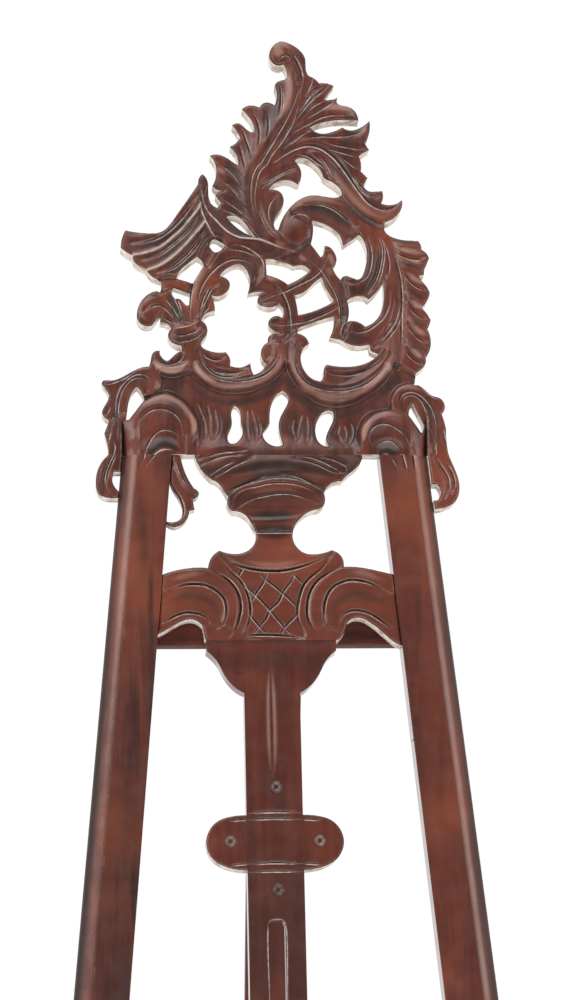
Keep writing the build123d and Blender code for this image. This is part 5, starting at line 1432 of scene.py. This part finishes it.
# --- plain wood ---------------------------------------------------------------------
for node, wood, radius in (("rear_rail", WOOD_REAR_RAIL, 0.5), ("lower_rail", WOOD_ACROSS, 1.5),
                           ("left_foot", WOOD_UP, 1.8), ("right_foot", WOOD_UP, 1.8)):
    softened(node + "_wood", node, wood, "frame", radius)
softened("rear_leg_wood", "rear_leg", WOOD_REAR, "rear_leg", 1.5)
for node in ("tray_shelf", "tray_lip", "tray_back", "tray_tongue", "clamp_plate"):
    softened(node + "_wood", node, WOOD_ACROSS, "tray", 0.4 if node == "tray_tongue" else 1.2)

# --- metalwork and dowels -------------------------------------------------------------
for material, nodes in (
        (BRASS, ("hinge_leaf_fixed", "hinge_leaf_moving", "hinge_pin", "clamp_bolt", "clamp_washer",
                 "wing_nut", "hinge_screws_rail", "hinge_screws_leg")),
        (STEEL, ("rail_screws", "tray_screws")),
        (BEECH, ("crest_dowels", "rail_dowels", "mast_dowels"))):
    for node in nodes:
        for slot in frame["nodes"][node].material_slots:
            slot.material = material

# --- camera, light and floor ----------------------------------------------------------
CAMERA_AT = (-242.0, -2737.47 + BASE_Y, 1183.84)
CAMERA_YAW = 4.845
CAMERA_PITCH = 3.813
CAMERA_ROLL = -0.318
CAMERA_LENS = 108.0
FLOOR_SIZE = 12.0
FLOOR_GAP = 0.0005      # the floor lies just under the feet


def make_camera():
    yaw, pitch, roll = (math.radians(a) for a in (CAMERA_YAW, CAMERA_PITCH, CAMERA_ROLL))
    forward = Vector((math.sin(yaw) * math.cos(pitch), math.cos(yaw) * math.cos(pitch), math.sin(pitch)))
    right = Vector((math.cos(yaw), -math.sin(yaw), 0))
    up = right.cross(forward)
    turned = right * math.cos(roll) + up * math.sin(roll)
    raised = up * math.cos(roll) - right * math.sin(roll)
    camera = linked("camera", bpy.data.cameras.new("camera"))
    camera.data.lens = CAMERA_LENS
    camera.data.sensor_width = 36.0
    axes = Matrix((turned, raised, -forward)).transposed()
    camera.matrix_world = Matrix.Translation(Vector(CAMERA_AT) * MM) @ axes.to_4x4()
    bpy.context.scene.camera = camera


def soft_box(name, place, target, size, power):
    """An area light, out of the camera's sight, facing target."""
    light = linked(name, bpy.data.lights.new(name, "AREA"))
    light.data.shape = "RECTANGLE"
    light.data.size, light.data.size_y = size
    light.data.energy = power
    light.visible_camera = False
    light.location = place
    light.rotation_euler = (Vector(target) - Vector(place)).to_track_quat("-Z", "Y").to_euler()


def studio():
    """White surroundings, a little darker in front, with soft boxes at both sides and above."""
    world = bpy.data.worlds.new("studio")
    world.use_nodes = True
    bpy.context.scene.world = world
    tree = world.node_tree
    background = tree.nodes["Background"]
    coordinates = tree.nodes.new("ShaderNodeTexCoord")
    split = tree.nodes.new("ShaderNodeSeparateXYZ")
    tree.links.new(coordinates.outputs["Generated"], split.inputs[0])
    strength = ramp(tree, split.outputs["Y"], -0.75, 0.05, 0.16, 1.02)
    tree.links.new(strength, background.inputs["Strength"])
    set_inputs(background, {"Color": (1, 1, 1, 1)})
    middle = (0, 0, 1.3)
    soft_box("left_box", (-2.1, -2.1, 2.2), middle, (0.8, 2.4), 40)
    soft_box("right_box", (2.3, -1.9, 1.7), middle, (0.7, 2.4), 30)
    soft_box("top_box", (-0.4, -1.2, 3.6), middle, (1.6, 1.2), 30)
    soft_box("floor_bounce", (0, -1.5, 0.15), (0, 0.1, 1.7), (1.8, 0.8), 16)


def make_floor():
    bpy.ops.mesh.primitive_plane_add(size=FLOOR_SIZE, location=(0, 0, -FLOOR_GAP))
    floor = bpy.context.object
    floor.name = "floor"
    material, tree, shader = new_material("pale_floor")
    speckle = noise_of(tree, stretched(tree, (1, 1, 1)), 40.0, 4.0)
    colour = mixed(tree, ramp(tree, speckle, 0.3, 0.7), (0.80, 0.80, 0.79), (0.84, 0.84, 0.83))
    tree.links.new(colour, shader.inputs["Base Color"])
    set_inputs(shader, {"Roughness": 0.6})
    floor.data.materials.append(material)


make_camera()
studio()
make_floor()
bpy.context.scene.view_settings.view_transform = "Standard"
